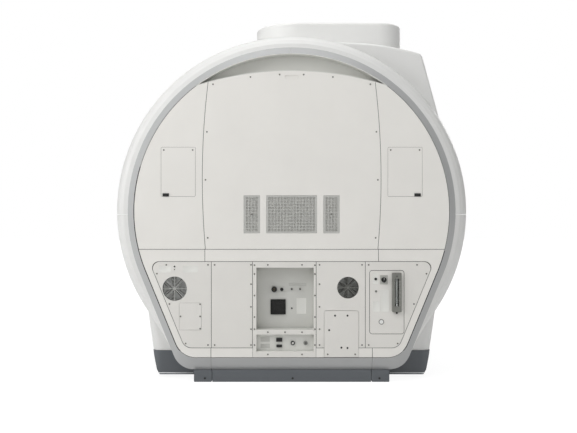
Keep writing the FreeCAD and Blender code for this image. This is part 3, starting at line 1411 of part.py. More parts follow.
def table_frame():
    """Trough-shaped table frame that the tabletop runs on."""
    top = TABLETOP_BOTTOM - RUNNER_GAP
    low = top - TABLE_FRAME_HEIGHT
    half = TABLE_FRAME_HALF
    wall = TABLE_FRAME_WALL
    y1 = TABLE_START + TABLE_LENGTH
    section = rounded(
        (-half, top, wall / 3),
        (-half + wall, top, wall / 3),
        (-half + 2 * wall, low + wall, wall / 3),
        (half - 2 * wall, low + wall, wall / 3),
        (half - wall, top, wall / 3),
        (half, top, wall / 3),
        (half - wall, low, wall),
        (-half + wall, low, wall),
    )
    trough = prism(section, TABLE_START, y1)
    runners = []
    for x in (-half / 2, half / 2):
        runners.append(box(x - wall, x + wall, TABLE_START, y1, low + wall / 2, top))
    ends = []
    for y in (TABLE_START, y1 - wall):
        ends.append(prism(section_fill(half, low, top), y, y + wall))
    return joined([trough] + runners + ends)


def section_fill(half, low, top):
    """Full section of the table frame, for its end plates."""
    wall = TABLE_FRAME_WALL
    return rounded(
        (-half + wall / 2, top, 0.0),
        (half - wall / 2, top, 0.0),
        (half - wall, low, wall),
        (-half + wall, low, wall),
    )


def tabletop():
    """Sliding tabletop with its shallow hollow and rounded ends."""
    low = TABLETOP_BOTTOM
    high = TABLETOP_Z
    y1 = TABLE_START + TABLE_LENGTH
    hollow = TABLETOP_HOLLOW
    section = outline(
        (-TABLETOP_FOOT_HALF, low),
        (TABLETOP_FOOT_HALF, low),
        (TABLETOP_HALF, high - hollow),
        (TABLETOP_HALF, high),
        (TABLETOP_HALF - hollow, high),
        ((0.0, high - hollow), (-TABLETOP_HALF + hollow, high)),
        (-TABLETOP_HALF, high),
        (-TABLETOP_HALF, high - hollow),
        (-TABLETOP_FOOT_HALF, low),
    )
    top = prism(section, TABLE_START, y1)
    plan = rounded(
        (-TABLETOP_HALF, TABLE_START, TABLETOP_HALF / 2),
        (TABLETOP_HALF, TABLE_START, TABLETOP_HALF / 2),
        (TABLETOP_HALF, y1, TABLETOP_HALF / 4),
        (-TABLETOP_HALF, y1, TABLETOP_HALF / 4),
    )
    plan.rotate(FreeCAD.Vector(0, 0, 0), FreeCAD.Vector(1, 0, 0), -90)
    footprint = Part.Face(plan).extrude(FreeCAD.Vector(0, 0, FAR))
    return top.common(footprint)


def table_pad():
    """Soft pad in the tabletop's hollow, with a crowned top and drawn-in edges."""
    y0 = TABLE_START + TABLETOP_HALF / 4
    y1 = TABLE_START + TABLE_LENGTH - TABLETOP_HALF / 4
    low = TABLETOP_Z - TABLETOP_HOLLOW + FIT
    high = low + PAD_THICKNESS
    block = box(-PAD_HALF, PAD_HALF, y0, y1, low, high)
    crown = rod(0, high - PAD_CROWN_RADIUS, PAD_CROWN_RADIUS, y0, y1)
    upright = [e for e in block.Edges if e.BoundBox.ZLength > PAD_THICKNESS / 2]
    block = block.makeFillet(PAD_HALF / 3, upright).common(crown)
    hollow_half = TABLETOP_HALF - TABLETOP_HOLLOW
    cradle_radius = (hollow_half**2 + TABLETOP_HOLLOW**2) / (2 * TABLETOP_HOLLOW)
    cradle = rod(0, TABLETOP_Z - TABLETOP_HOLLOW + cradle_radius, cradle_radius - FIT, y0, y1)
    block = block.common(cradle)
    return block


def build():
    """Every node of the scanner by name."""
    nodes = dict(cover_shells())
    nodes["turret_cover"] = turret_cover()
    nodes["rear_band"] = rear_band()
    nodes["front_fascia"] = front_fascia()
    nodes["bore_funnel"] = bore_funnel()
    left_base = base_cover()
    nodes["base_cover_left"] = left_base
    nodes["base_cover_right"] = mirrored_x(left_base)
    nodes["plinth"] = plinth()
    nodes["rear_frame"] = rear_frame()
    nodes["crest_tray"] = crest_tray()
    nodes["upper_centre_panel"] = upper_centre_panel()
    nodes.update(upper_side_panels())
    hatch = prism(window(hatch_limits(-1), HATCH_CORNER), REAR, FACE_BACK)
    nodes["side_hatches"] = Part.Compound([hatch, mirrored_x(hatch)])
    nodes.update(grilles())
    nodes.update(surround())
    nodes.update(lower_panels())
    nodes["connector_frame"] = connector_frame()
    nodes["recess_tray"] = tray(RECESS, RECESS_DEPTH)
    nodes["strip_tray"] = tray(STRIP, STRIP_DEPTH)
    nodes["recess_filter"] = recess_filter()
    nodes["dark_fittings"] = dark_fittings()
    nodes["toggle_left"] = toggle(TOGGLE_X[0])
    nodes["toggle_right"] = toggle(TOGGLE_X[1])
    nodes.update(fans())
    nodes["instrument_plate"] = instrument_plate()
    nodes["instrument_fittings"] = instrument_fittings()
    nodes.update(flowmeter())
    nodes["selector_knob"] = selector_knob()
    nodes["push_button"] = push_button()
    nodes["panel_screws"] = panel_screws()
    nodes["magnet_vessel"] = magnet_vessel()
    nodes["magnet_feet"] = magnet_feet()
    nodes["gradient_coil"] = gradient_coil()
    nodes["bore_liner"] = bore_liner()
    nodes["cold_head"] = cold_head()
    nodes["table_base"] = table_base()
    nodes["table_column"] = table_column()
    nodes["table_frame"] = table_frame()
    nodes["tabletop"] = tabletop()
    nodes["table_pad"] = table_pad()
    return nodes


def main():
    """Write one STEP file per node."""
    os.makedirs("parts", exist_ok=True)
    for name, shape in build().items():
        shape.exportStep("parts/" + name + ".step")
        print(name, len(shape.Solids), shape.isValid(), round(shape.Volume / 1e6, 2))


main()
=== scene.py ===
"""Dresses a closed-bore magnetic resonance scanner, seen in service from behind.

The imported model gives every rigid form. This script adds the finishes, the soft pad and the fine
fittings, and sets up a plain pale studio with the camera level with the middle of the bore.
"""

from __future__ import annotations

import functools
import logging
import math
from collections.abc import Callable
from dataclasses import dataclass, replace
from enum import Enum

import bpy
from bpy_extras.mesh_utils import mesh_linked_triangles
from mathutils import Color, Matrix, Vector
from mathutils.bvhtree import BVHTree


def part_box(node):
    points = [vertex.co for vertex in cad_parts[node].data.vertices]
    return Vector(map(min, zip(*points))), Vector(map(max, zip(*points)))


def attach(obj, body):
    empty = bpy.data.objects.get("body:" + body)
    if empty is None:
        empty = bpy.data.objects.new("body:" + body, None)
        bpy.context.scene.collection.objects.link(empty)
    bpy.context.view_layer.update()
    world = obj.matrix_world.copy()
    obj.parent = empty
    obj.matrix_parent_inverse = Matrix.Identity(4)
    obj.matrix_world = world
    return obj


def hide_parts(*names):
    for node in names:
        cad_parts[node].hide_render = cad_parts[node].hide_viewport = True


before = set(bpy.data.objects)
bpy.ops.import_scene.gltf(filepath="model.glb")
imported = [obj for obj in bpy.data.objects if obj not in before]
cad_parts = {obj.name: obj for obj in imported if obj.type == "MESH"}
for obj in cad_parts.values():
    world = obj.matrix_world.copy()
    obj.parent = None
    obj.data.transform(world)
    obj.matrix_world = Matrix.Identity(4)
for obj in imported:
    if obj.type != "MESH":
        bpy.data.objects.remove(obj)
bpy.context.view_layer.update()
LOG = logging.getLogger("scanner")

Colour = tuple[float, float, float, float]
Point = tuple[float, float, float]
Fields = tuple[tuple[float, ...], ...]
Socket = bpy.types.NodeSocket
Piece = bpy.types.Object

WHITE: Colour = (1.0, 1.0, 1.0, 1.0)
DUST = "#6F6C64"
# colour of the painted shade in seams and corners
CREASE_SHADE = "#55534E"
SCUFF = "#8A8A88"
GLASS_IOR = 1.49
SHARP_ANGLE = 0.6
CORD_ANGLE = 0.8
WELD = 1e-5
FACING = 0.9
SIDES = {"left": -1, "right": 1}

# Settings of a Mix node for colours, with the numbers of its inputs and of its output.
BLEND = {"data_type": "RGBA"}
SHARE, UNDER, OVER, BLENDED = 0, 6, 7, 2


def linear(code: str) -> Colour:
    """Linear colour of an sRGB hex code such as #FFFFFF, with an alpha of 1."""
    shown = Color([byte / 255 for byte in bytes.fromhex(code[1:])])
    return (*shown.from_srgb_to_scene_linear(), 1.0)


def per_metre(millimetres: float) -> float:
    """Scale of a pattern whose cells have this size."""
    return 1000 / millimetres


def shaded(code: str, gain: float, lift: float = 0.0) -> Colour:
    """Linear colour of an sRGB hex code, made lighter or darker by a gain and a lift."""
    red, green, blue = (min(1.0, c * gain + lift) for c in linear(code)[:3])
    return (red, green, blue, 1.0)


class Tree:
    """Node tree of a material or a world, emptied to be built up."""

    def __init__(self, owner: bpy.types.Material | bpy.types.World) -> None:
        """Empty the node tree of its owner.

        Args:
            owner: The material or the world.
        """
        owner.use_nodes = True
        self.nodes = owner.node_tree.nodes
        self.links = owner.node_tree.links
        self.nodes.clear()

    def set_up(self, node: bpy.types.Node, settings: dict) -> None:
        """Set a node up.

        Args:
            node: The node.
            settings: Values by the name or number of an input, or by the name of a property. An
                output socket as a value is joined to that input.
        """
        for name, value in settings.items():
            if isinstance(value, Socket):
                self.links.new(value, node.inputs[name])
            elif isinstance(name, int) or name in node.inputs:
                node.inputs[name].default_value = value
            else:
                setattr(node, name, value)

    def add(self, kind: str, settings: dict, output: str | int = 0) -> Socket | None:
        """Add a node.

        Args:
            kind: Node type without its prefix.
            settings: Settings as in set_up.
            output: Name or number of the output that is wanted.

        Returns:
            That output, or nothing where the node has none.
        """
        node = self.nodes.new(f"ShaderNode{kind}")
        self.set_up(node, settings)
        return node.outputs[output] if node.outputs else None

    def any_of(self, *kinds: str) -> Socket:
        """Tell rays apart.

        Args:
            kinds: Kinds of ray, such as Camera.

        Returns:
            Output that is 1 for rays of any of these kinds.
        """
        found, *others = (self.add("LightPath", {}, f"Is {kind} Ray") for kind in kinds)
        for other in others:
            found = self.add("Math", {"operation": "MAXIMUM", 0: found, 1: other})
        return found


@dataclass(frozen=True)
class Zone:
    """Round field of a fitting, seen from behind, in its own colour, and on the right fan's guard
    in painted shade.
    """

    x: float
    z: float
    radius: float
    colour: str


class Shader(Tree):
    """Material in the making, with the point in the piece's own coordinates as its place."""

    def __init__(self, name: str) -> None:
        """Start a material with a principled shader.

        Args:
            name: What the finish is.
        """
        self.material = bpy.data.materials.new(name)
        super().__init__(self.material)
        self.surface = self.nodes.new("ShaderNodeBsdfPrincipled")
        self.add("OutputMaterial", {"Surface": self.surface.outputs["BSDF"]})
        self.place = self.add("TexCoord", {}, "Object")

    def zoned(self, paint: Socket, zones: tuple[Zone, ...]) -> Socket:
        """Paint zones over a colour.

        Args:
            paint: The colour.
            zones: The zones, none of which touches another.

        Returns:
            The colour with the zones on it.
        """
        upright = {"operation": "MULTIPLY", 0: self.place, 1: (1.0, 0.0, 1.0)}
        flat = self.add("VectorMath", upright)
        for zone in zones:
            away = {"operation": "DISTANCE", 0: flat, 1: (zone.x, 0.0, zone.z)}
            reach = self.add("VectorMath", away, "Value")
            inside = self.add("Math", {"operation": "LESS_THAN", 0: reach, 1: zone.radius})
            over = linear(zone.colour)
            paint = self.add("Mix", {**BLEND, SHARE: inside, UNDER: paint, OVER: over}, BLENDED)
        return paint

    def paint(self, settings: dict) -> None:
        """Set the principled shader up, with settings as in set_up."""
        self.set_up(self.surface, settings)


@dataclass(frozen=True)
class Finish:
    """Finish of a surface, the same on every piece that has it."""

    name: str
    colour: str

    def draw(self, shader: Shader) -> None:
        """Draw the finish in a material in the making."""
        raise NotImplementedError


@dataclass(frozen=True)
class Enamel(Finish):
    """Enamel sprayed on a moulded or folded panel: orange peel, a little dust, painted shade in
    seams.
    """

    roughness: float = 0.42
    cloud_mm: float = 180.0
    speck_mm: float = 14.0
    peel_mm: float = 9.0
    peel_depth: float = 0.05
    mottle: float = 0.03
    dust: float = 0.05
    # share of the painted shade in seams and corners
    crease_shade: float = 0.15
    coat: float = 0.0
    zones: tuple[Zone, ...] = ()

    def draw(self, shader: Shader) -> None:
        """Draw the enamel, its dust, the painted shade in its seams and its peel.

        Args:
            shader: The material in the making.
        """
        add, place, base = shader.add, shader.place, linear(self.colour)
        # cloudy difference in tone that large sprayed panels show, about a hand long
        size = {"Scale": per_metre(self.cloud_mm), "Detail": 3.0}
        cloud = add("TexNoise", {"Vector": place, **size}, "Fac")
        darker = shaded(self.colour, 1 - 2 * self.mottle)
        tone = add("Mix", {**BLEND, SHARE: cloud, UNDER: darker, OVER: base}, BLENDED)
        # fine specks of dust, drawn coarser than real so that they show
        size = {"Scale": per_metre(self.speck_mm), "Detail": 6.0, "Roughness": 0.7}
        speck = add("TexNoise", {"Vector": place, **size}, "Fac")
        reach = {"From Min": 0.62, "From Max": 0.78, "To Min": 0.0, "To Max": self.dust}
        share = add("MapRange", {"Value": speck, **reach}, "Result")
        dusty = add("Mix", {**BLEND, SHARE: share, UNDER: tone, OVER: linear(DUST)}, BLENDED)
        # painted shade that darkens seams and corners, taken from ambient occlusion
        corner = add("AmbientOcclusion", {"Distance": 0.03, "samples": 4}, "AO")
        reach = {"From Min": 0.15, "From Max": 0.75, "To Min": self.crease_shade, "To Max": 0.0}
        share = add("MapRange", {"Value": corner, **reach}, "Result")
        dusty_and_shaded = add("Mix", {**BLEND, SHARE: share, UNDER: dusty, OVER: linear(CREASE_SHADE)}, BLENDED)
        # patches that are duller, and the peel of the sprayed coat
        polish = {"To Min": self.roughness - 0.05, "To Max": self.roughness + 0.07}
        size = {"Scale": per_metre(self.peel_mm), "Detail": 2.0}
        peel = add("TexNoise", {"Vector": place, **size}, "Fac")
        depth = {"Strength": self.peel_depth, "Distance": 0.001}
        shader.paint({
            "Base Color": shader.zoned(dusty_and_shaded, self.zones),
            "Roughness": add("MapRange", {"Value": cloud, **polish}, "Result"),
            "Normal": add("Bump", {"Height": peel, **depth}),
            "Coat Weight": self.coat,
            "Coat Roughness": 0.15,
        })


@dataclass(frozen=True)
class MouldedPlastic(Finish):
    """Plastic with the fine spark texture of its mould."""

    roughness: float = 0.5
    grain_mm: float = 2.5
    grain_depth: float = 0.15
    scuff_mm: float = 8.0
    scuffing: float = 0.05
    zones: tuple[Zone, ...] = ()

    def draw(self, shader: Shader) -> None:
        """Draw the plastic, its scuffs and its grain.

        Args:
            shader: The material in the making.
        """
        add, place, base = shader.add, shader.place, linear(self.colour)
        # long faint scuffs from trolleys and shoes, about 50 mm long
        drawn = add("Mapping", {"Scale": (0.15, 0.15, 1.0), "Vector": place})
        size = {"Scale": per_metre(self.scuff_mm), "Detail": 5.0}
        scuff = add("TexNoise", {"Vector": drawn, **size}, "Fac")
        reach = {"From Min": 0.58, "From Max": 0.75, "To Min": 0.0, "To Max": self.scuffing}
        share = add("MapRange", {"Value": scuff, **reach}, "Result")
        tone = add("Mix", {**BLEND, SHARE: share, UNDER: base, OVER: linear(SCUFF)}, BLENDED)
        # the mould's spark texture
        size = {"Scale": per_metre(self.grain_mm), "Detail": 3.0}
        grain = add("TexNoise", {"Vector": place, **size}, "Fac")
        polish = {"To Min": self.roughness - 0.06, "To Max": self.roughness + 0.08}
        depth = {"Strength": self.grain_depth, "Distance": 0.0005}
        shader.paint({
            "Base Color": shader.zoned(tone, self.zones),
            "Roughness": add("MapRange", {"Value": grain, **polish}, "Result"),
            "Normal": add("Bump", {"Height": grain, **depth}),
        })


class Grain(Enum):
    """Direction in which a metal surface was worked, as the stretch of its pattern."""

    ALONG_X = (0.02, 1.0, 1.0)
    ALONG_Z = (1.0, 1.0, 0.02)
    NONE = (1.0, 1.0, 1.0)


@dataclass(frozen=True)
class Metal(Finish):
    """Bare metal, worked in one direction or none."""

    roughness: float = 0.3
    grain: Grain = Grain.NONE
    grain_mm: float = 1.5
    grain_depth: float = 0.1
    metallic: float = 1.0
    zones: tuple[Zone, ...] = ()

    def draw(self, shader: Shader) -> None:
        """Draw the metal and the lines that its working left.

        Args:
            shader: The material in the making.
        """
        add, base = shader.add, linear(self.colour)
        drawn = add("Mapping", {"Scale": self.grain.value, "Vector": shader.place})
        size = {"Scale": per_metre(self.grain_mm), "Detail": 4.0}
        lines = add("TexNoise", {"Vector": drawn, **size}, "Fac")
        dull = shaded(self.colour, 0.82)
        tone = add("Mix", {**BLEND, SHARE: lines, UNDER: dull, OVER: base}, BLENDED)
        polish = {"To Min": max(0.05, self.roughness - 0.1), "To Max": self.roughness + 0.12}
        depth = {"Strength": self.grain_depth, "Distance": 0.0003}
        shader.paint({
            "Base Color": shader.zoned(tone, self.zones),
            "Roughness": add("MapRange", {"Value": lines, **polish}, "Result"),
            "Normal": add("Bump", {"Height": lines, **depth}),
            "Metallic": self.metallic,
        })


@dataclass(frozen=True)
class ClearGlass(Finish):
    """Clear drawn glass, a little hazed by cleaning."""

    roughness: float = 0.06
    haze_mm: float = 12.0

    def draw(self, shader: Shader) -> None:
        """Draw the glass and its haze.

        Args:
            shader: The material in the making.
        """
        add = shader.add
        size = {"Scale": per_metre(self.haze_mm), "Detail": 3.0}
        haze = add("TexNoise", {"Vector": shader.place, **size}, "Fac")
        polish = {"To Min": self.roughness, "To Max": self.roughness + 0.08}
        shader.paint({
            "Base Color": linear(self.colour),
            "Roughness": add("MapRange", {"Value": haze, **polish}, "Result"),
            "Transmission Weight": 1.0,
            "IOR": GLASS_IOR,
        })


@dataclass(frozen=True)
class FilterFoam(Finish):
    """Open-cell polyurethane foam."""

    cell_mm: float = 5.0

    def draw(self, shader: Shader) -> None:
        """Draw the open cells, about three times their real size so that they show, with their
        edges painted lighter as if lit and their middles darker as painted shade.

        Args:
            shader: The material in the making.
        """
        add, base, painted_lit_edges = shader.add, linear(self.colour), shaded(self.colour, 3.0)
        size = {"Scale": per_metre(self.cell_mm)}
        cells = add("TexVoronoi", {"Vector": shader.place, **size}, "Distance")
        depth = {"Strength": 0.8, "Distance": 0.002}
        shader.paint({
            # cell edges painted lighter as if lit, cell middles darker as painted shade
            "Base Color": add("Mix", {**BLEND, SHARE: cells, UNDER: base, OVER: painted_lit_edges}, BLENDED),
            "Roughness": 0.95,
            "Normal": add("Bump", {"Height": cells, **depth}),
        })


@dataclass(frozen=True)
class CoatedFabric(Finish):
    """Vinyl-coated fabric over foam, with a fine leather grain and soft sheen."""

    grain_mm: float = 3.0
    cloud_mm: float = 120.0

    def draw(self, shader: Shader) -> None:
        """Draw the vinyl, its wear and its leather grain.

        Args:
            shader: The material in the making.
        """
        add, place, base = shader.add, shader.place, linear(self.colour)
        leather = {"feature": "DISTANCE_TO_EDGE", "Scale": per_metre(self.grain_mm)}
        edges = add("TexVoronoi", {"Vector": place, **leather}, "Distance")
        groove = add("MapRange", {"Value": edges, "From Max": 0.12}, "Result")
        # patches that cleaning has made paler and duller
        size = {"Scale": per_metre(self.cloud_mm), "Detail": 4.0}
        cloud = add("TexNoise", {"Vector": place, **size}, "Fac")
        worn = shaded(self.colour, 1.25, 0.01)
        polish = {"To Min": 0.4, "To Max": 0.58}
        shader.paint({
            "Base Color": add("Mix", {**BLEND, SHARE: cloud, UNDER: base, OVER: worn}, BLENDED),
            "Roughness": add("MapRange", {"Value": cloud, **polish}, "Result"),
            "Normal": add("Bump", {"Height": groove, "Strength": 0.25, "Distance": 0.0006}),
            "Sheen Weight": 0.1,
        })


# Two-pack acrylic enamel on glass-fibre covers: smooth, clean and a little glossy.
COVER_WHITE = Enamel("cover_enamel_white", "#E0E0DE", roughness=0.5, crease_shade=0.1, coat=0.03)
# The same enamel on the turret's cover, a little whiter than the barrel.
TURRET_WHITE = replace(COVER_WHITE, name="turret_enamel_white", colour="#E8E8E6")
# Powder coat on aluminium sheet: warmer and flatter than the moulded covers.
PANEL_WHITE = Enamel(
    "panel_powder_coat_warm_white", "#E9E7E2", roughness=0.48, peel_depth=0.08, crease_shade=0.35
)
# The same coat on the lower panels, which are a shade greyer.
LOWER_WHITE = replace(PANEL_WHITE, name="lower_powder_coat_warm_white", colour="#E1DFDA")
# Silver-grey enamel on the trim ring: tone falls off fast away from the lights.
BAND_GREY = Enamel("band_enamel_silver_grey", "#B0B1B1", roughness=0.4, crease_shade=0.1, coat=0.1)
# Textured polyurethane skirting, dark so that scuffs from trolleys hardly show.
BASE_GREY = MouldedPlastic("skirting_polyurethane_dark_grey", "#5B5F63", roughness=0.55)
# Black cord along the gap between the panels and the trim ring, as painted shade: one dark line
# where the gap lies in shadow.
GAP_SHADE_CORD = MouldedPlastic("gap_shade_cord_black", "#161616", roughness=0.6, grain_depth=0.05)
# Rubber lip along the foot of the base covers, pale as a painted highlight: one thin bright line.
PALE_LIP_HIGHLIGHT = MouldedPlastic("lip_rubber_pale_painted_highlight", "#ECEEEF", roughness=0.5, grain_depth=0.05)
# Grey powder coat on punched steel: flat, and darker than the panels round it.
GRILLE_GREY = Enamel("grille_powder_coat_grey", "#BDBDB9", roughness=0.55)
# Non-woven mats behind the grilles: mid grey, soft and fibrous, with painted light and shade on
# their cells.
GRILLE_MAT = FilterFoam("grille_mat_non_woven_grey", "#8A8A86")
# Grey coat of the crest, partly painted shade under the band, and a darker and a lighter copy in
# the recess and the strip, with more and less painted shade.
TRAY_GREY_AND_SHADE = Enamel("tray_coat_grey_and_painted_shade", "#DADAD5", roughness=0.55, dust=0.1, crease_shade=0.3)
RECESS_GREY_AND_SHADE = replace(TRAY_GREY_AND_SHADE, name="recess_coat_grey_and_painted_shade", colour="#D0D0CB")
STRIP_GREY_AND_SHADE = replace(TRAY_GREY_AND_SHADE, name="strip_coat_pale_grey_and_painted_shade", colour="#DFDFDA")
# Steel behind the panels, painted dark as the shade in the seams, so that they read as dark lines.
FRAME_STEEL_SEAM_SHADE = MouldedPlastic("frame_steel_dark_seam_shade", "#28292A", roughness=0.7, grain_mm=6.0)
# Black moulded nylon of sockets, bushes and latches; the right port of the strip is grey.
DARK_PLASTIC = MouldedPlastic(
    "fittings_black_nylon",
    "#181817",
    roughness=0.45,
    grain_mm=1.5,
    zones=(Zone(0.084, 0.2315, 0.0135, "#8B8B87"),),
)
# Open-cell foam of the air filter: nearly black, with the edges of its cells painted lighter as
# highlights.
FILTER = FilterFoam("filter_open_cell_foam", "#191918")
# Galvanised wire guards: bright wire over the dark fan, with the right fan's guard darker as
# painted shade.
GUARD = Metal(
    "guard_galvanised_wire_and_painted_shade",
    "#C6C7C3",
    roughness=0.45,
    metallic=0.5,
    # darker field over the right fan as painted shade
    zones=(Zone(0.338, 0.568, 0.1, "#7C7D78"),),
)
# Glass-filled fan plastic, nearly black.
FAN_PLASTIC = MouldedPlastic("fan_glass_filled_plastic_black", "#0F1011", roughness=0.5)
# Nickel-plated brass toggle levers, dulled.
TOGGLE = Metal("toggle_nickel_plated_brass", "#8D8B86", roughness=0.3)
# Smoked acrylic flowmeter block: a grey body with a soft gloss.
METER_BODY = MouldedPlastic(
    "flowmeter_block_smoked_acrylic", "#757670", roughness=0.22, grain_depth=0.03
)
# Drawn glass tube: clear, so that the float and the white strip show through it.
METER_GLASS = ClearGlass("flowmeter_tube_clear", "#FBFDFC")
# White enamelled backing strip: the brightest field behind the tube.
METER_BACKING = Enamel("flowmeter_backing_enamel_white", "#F4F4F0", roughness=0.35, peel_mm=4.0)
# Turned stainless float: satin, with fine lines across.
FLOAT_STEEL = Metal("float_turned_stainless_steel", "#B9B9B6", roughness=0.22, grain=Grain.ALONG_X)
# Gloss white polycarbonate button.
BUTTON = MouldedPlastic("button_polycarbonate_white", "#E8E8E6", roughness=0.25, grain_depth=0.02)
# Pale polyamide inserts and printed marks: small light points and lines.
PALE_INSERT = MouldedPlastic("insert_polyamide_pale", "#D6D6D2", roughness=0.4, grain_depth=0.04)
# Painted fittings of the instruments: a pale plate, a black socket, a grey lamp and a dark ring.
FITTING = Enamel(
    "fitting_enamel_dark_grey",
    "#5A5A57",
    roughness=0.4,
    peel_mm=3.0,
    zones=(
        Zone(0.553, 0.6155, 0.040, "#B4B4AE"),
        Zone(0.504, 0.620, 0.010, "#1E1E1D"),
        Zone(0.506, 0.546, 0.009, "#7A7A76"),
    ),
)
# Matt polyester film of the label fields, left blank.
LABEL_PALE = Enamel(
    "label_polyester_film_pale", "#E4E4DF", roughness=0.6, peel_mm=3.0, peel_depth=0.02, crease_shade=0.0
)
# The same film, printed all over in a plain grey.
LABEL_GREY = replace(LABEL_PALE, name="label_polyester_film_grey", colour="#C4C4BF")
# Zinc-plated screw heads, dulled.
SCREW = Metal("screw_zinc_plated_steel", "#908F8A", roughness=0.45)
# Dark steel at the bottoms of the screws' sockets, as painted shade in these shallow hollows: a
# dark point in each head. The flowmeter's screw and the selector's ticks have it too.
SOCKET_SHADE_AND_DARK_MARKS = Metal("screw_socket_shade_and_dark_marks_steel", "#3A3A38", roughness=0.6, metallic=0.5)
# Gold-flashed contact pins: warm glints in the dark port.
PIN = Metal("pin_gold_flashed_brass", "#C9B27A", roughness=0.3)
# Brushed stainless vessel of the magnet: highlights drawn out across the lines.
VESSEL = Metal(
    "vessel_brushed_stainless_steel", "#BFC1C2", roughness=0.35, grain=Grain.ALONG_X, grain_mm=4.0
)
# Glass-fibre epoxy of the gradient coil, amber.
COIL = MouldedPlastic("coil_glass_fibre_epoxy", "#B8A987", roughness=0.5, grain_mm=6.0)
# White gelcoat of the bore tube: smooth and glossy.
LINER = Enamel(
    "liner_gelcoat_white", "#E2E3E2", roughness=0.3, peel_depth=0.03, crease_shade=0.05, coat=0.3
)
# Painted cast iron feet: dark and rough.
FOOT = MouldedPlastic(
    "foot_painted_cast_iron", "#4A4C4E", roughness=0.6, grain_mm=4.0, grain_depth=0.4
)
# Anodised aluminium lift column: satin, with upright lines from its drawing.
COLUMN = Metal(
    "column_anodised_aluminium", "#B5B7B9", roughness=0.35, grain=Grain.ALONG_Z, grain_mm=3.0
)
# Enamel on the table's base and frame: a little cooler and glossier than the covers.
TABLE_WHITE = Enamel("table_enamel_white", "#DFE1E0", roughness=0.4)
# Gelcoat over the laminated tabletop: pale grey and glossy.
TABLETOP = Enamel(
    "tabletop_gelcoat_pale_grey", "#D0D4D6", roughness=0.25, peel_depth=0.03, crease_shade=0.05, coat=0.4
)
# Vinyl-coated fabric on the pad: a fine leather grain with a soft sheen.
PAD = CoatedFabric("pad_vinyl_coated_fabric_blue_grey", "#5E6E7E")
# The same fabric sewn over a cord: a darker line round the pad.
PIPING = CoatedFabric("piping_vinyl_coated_fabric_dark", "#47535F", grain_mm=2.0)


@functools.cache
def material_of(finish: Finish) -> bpy.types.Material:
    """Build the material of a finish, once however many pieces have it.

    Args:
        finish: The finish.

    Returns:
        A material in the piece's own coordinates.
    """
    shader = Shader(finish.name)
    finish.draw(shader)
    return shader.material


def dress(finish: Finish, *nodes: str) -> None:
    """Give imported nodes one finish.

    Args:
        finish: The finish.
        nodes: Names of the nodes.
    """
    material = material_of(finish)
    for name in nodes:
        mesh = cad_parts[name].data
        mesh.materials.clear()
        mesh.materials.append(material)
        LOG.info("%s: %s", name, material.name)


def select_only(piece: Piece) -> None:
    """Leave one piece selected and active, in object mode.

    Args:
        piece: The piece.
    """
    if bpy.context.object and bpy.context.object.mode != "OBJECT":
        bpy.ops.object.mode_set(mode="OBJECT")
    bpy.ops.object.select_all(action="DESELECT")
    piece.select_set(True)
    bpy.context.view_layer.objects.active = piece


def named(name: str) -> Piece:
    """Name the primitive just added, and put its place, turn and scale in its mesh.

    Args:
        name: Its name.

    Returns:
        The primitive.
    """
    piece = bpy.context.object
    piece.name = name
    bpy.ops.object.transform_apply(location=True, rotation=True, scale=True)
    return piece


def linked(name: str, data: bpy.types.ID) -> Piece:
    """Make an object in the scene.

    Args:
        name: Its name.
        data: Its data.

    Returns:
        The object.
    """
    thing = bpy.data.objects.new(name, data)
    bpy.context.scene.collection.objects.link(thing)
    return thing


def add_block(name: str, low: Point, high: Point) -> Piece:
    """Start a block.

    Args:
        name: Name of the piece.
        low: Its lowest corner, in metres.
        high: Its highest corner.

    Returns:
        The block.
    """
    start, end = Vector(low), Vector(high)
    bpy.ops.object.select_all(action="DESELECT")
    bpy.ops.mesh.primitive_cube_add(size=1.0, location=(start + end) / 2, scale=end - start)
    return named(name)


def pick_faces(piece: Piece, test: Callable[[bpy.types.MeshPolygon], bool]) -> None:
    """Select faces of a piece, and go to edit mode.

    Args:
        piece: The piece.
        test: Test that these faces pass.
    """
    select_only(piece)
    bpy.context.tool_settings.mesh_select_mode = (False, False, True)
    for part in (piece.data.vertices, piece.data.edges):
        part.foreach_set("select", [False] * len(part))
    for face in piece.data.polygons:
        face.select = test(face)
    bpy.ops.object.mode_set(mode="EDIT")


def sink_front(piece: Piece, border: float, depth: float) -> None:
    """Inset the rear-looking faces of a piece and push what they enclose in.

    Args:
        piece: Piece to edit.
        border: Width of the rim that stays.
        depth: How deep the middle sinks, or with a minus how far it stands out.
    """
    pick_faces(piece, lambda face: face.normal.y < -FACING)
    bpy.ops.mesh.inset(thickness=border, depth=0.0)
    bpy.ops.mesh.extrude_region_move(TRANSFORM_OT_translate={"value": (0.0, depth, 0.0)})
    bpy.ops.object.mode_set(mode="OBJECT")


def apply_modifier(piece: Piece, kind: str, settings: dict) -> None:
    """Apply a modifier to a piece.

    Args:
        piece: The piece.
        kind: Type of the modifier.
        settings: Values by the names of its properties.
    """
    select_only(piece)
    modifier = piece.modifiers.new(kind.lower(), kind)
    for name, value in settings.items():
        setattr(modifier, name, value)
    bpy.ops.object.modifier_apply(modifier=modifier.name)


def soften(piece: Piece, width: float, segments: int = 2) -> None:
    """Round the sharp edges of a piece and shade it smooth.

    Args:
        piece: The piece.
        width: Width of the rounding.
        segments: Number of faces across it.
    """
    limit = {"limit_method": "ANGLE", "angle_limit": SHARP_ANGLE}
    apply_modifier(piece, "BEVEL", {"width": width, "segments": segments, **limit})
    bpy.ops.object.shade_smooth_by_angle(angle=SHARP_ANGLE)


def copied(piece: Piece, shift: Vector) -> Piece:
    """Copy a piece with its own mesh.

    Args:
        piece: The piece.
        shift: Move that goes into the mesh.

    Returns:
        The copy.
    """
    twin = piece.copy()
    twin.data = piece.data.copy()
    bpy.context.scene.collection.objects.link(twin)
    for vertex in twin.data.vertices:
        vertex.co += shift
    return twin


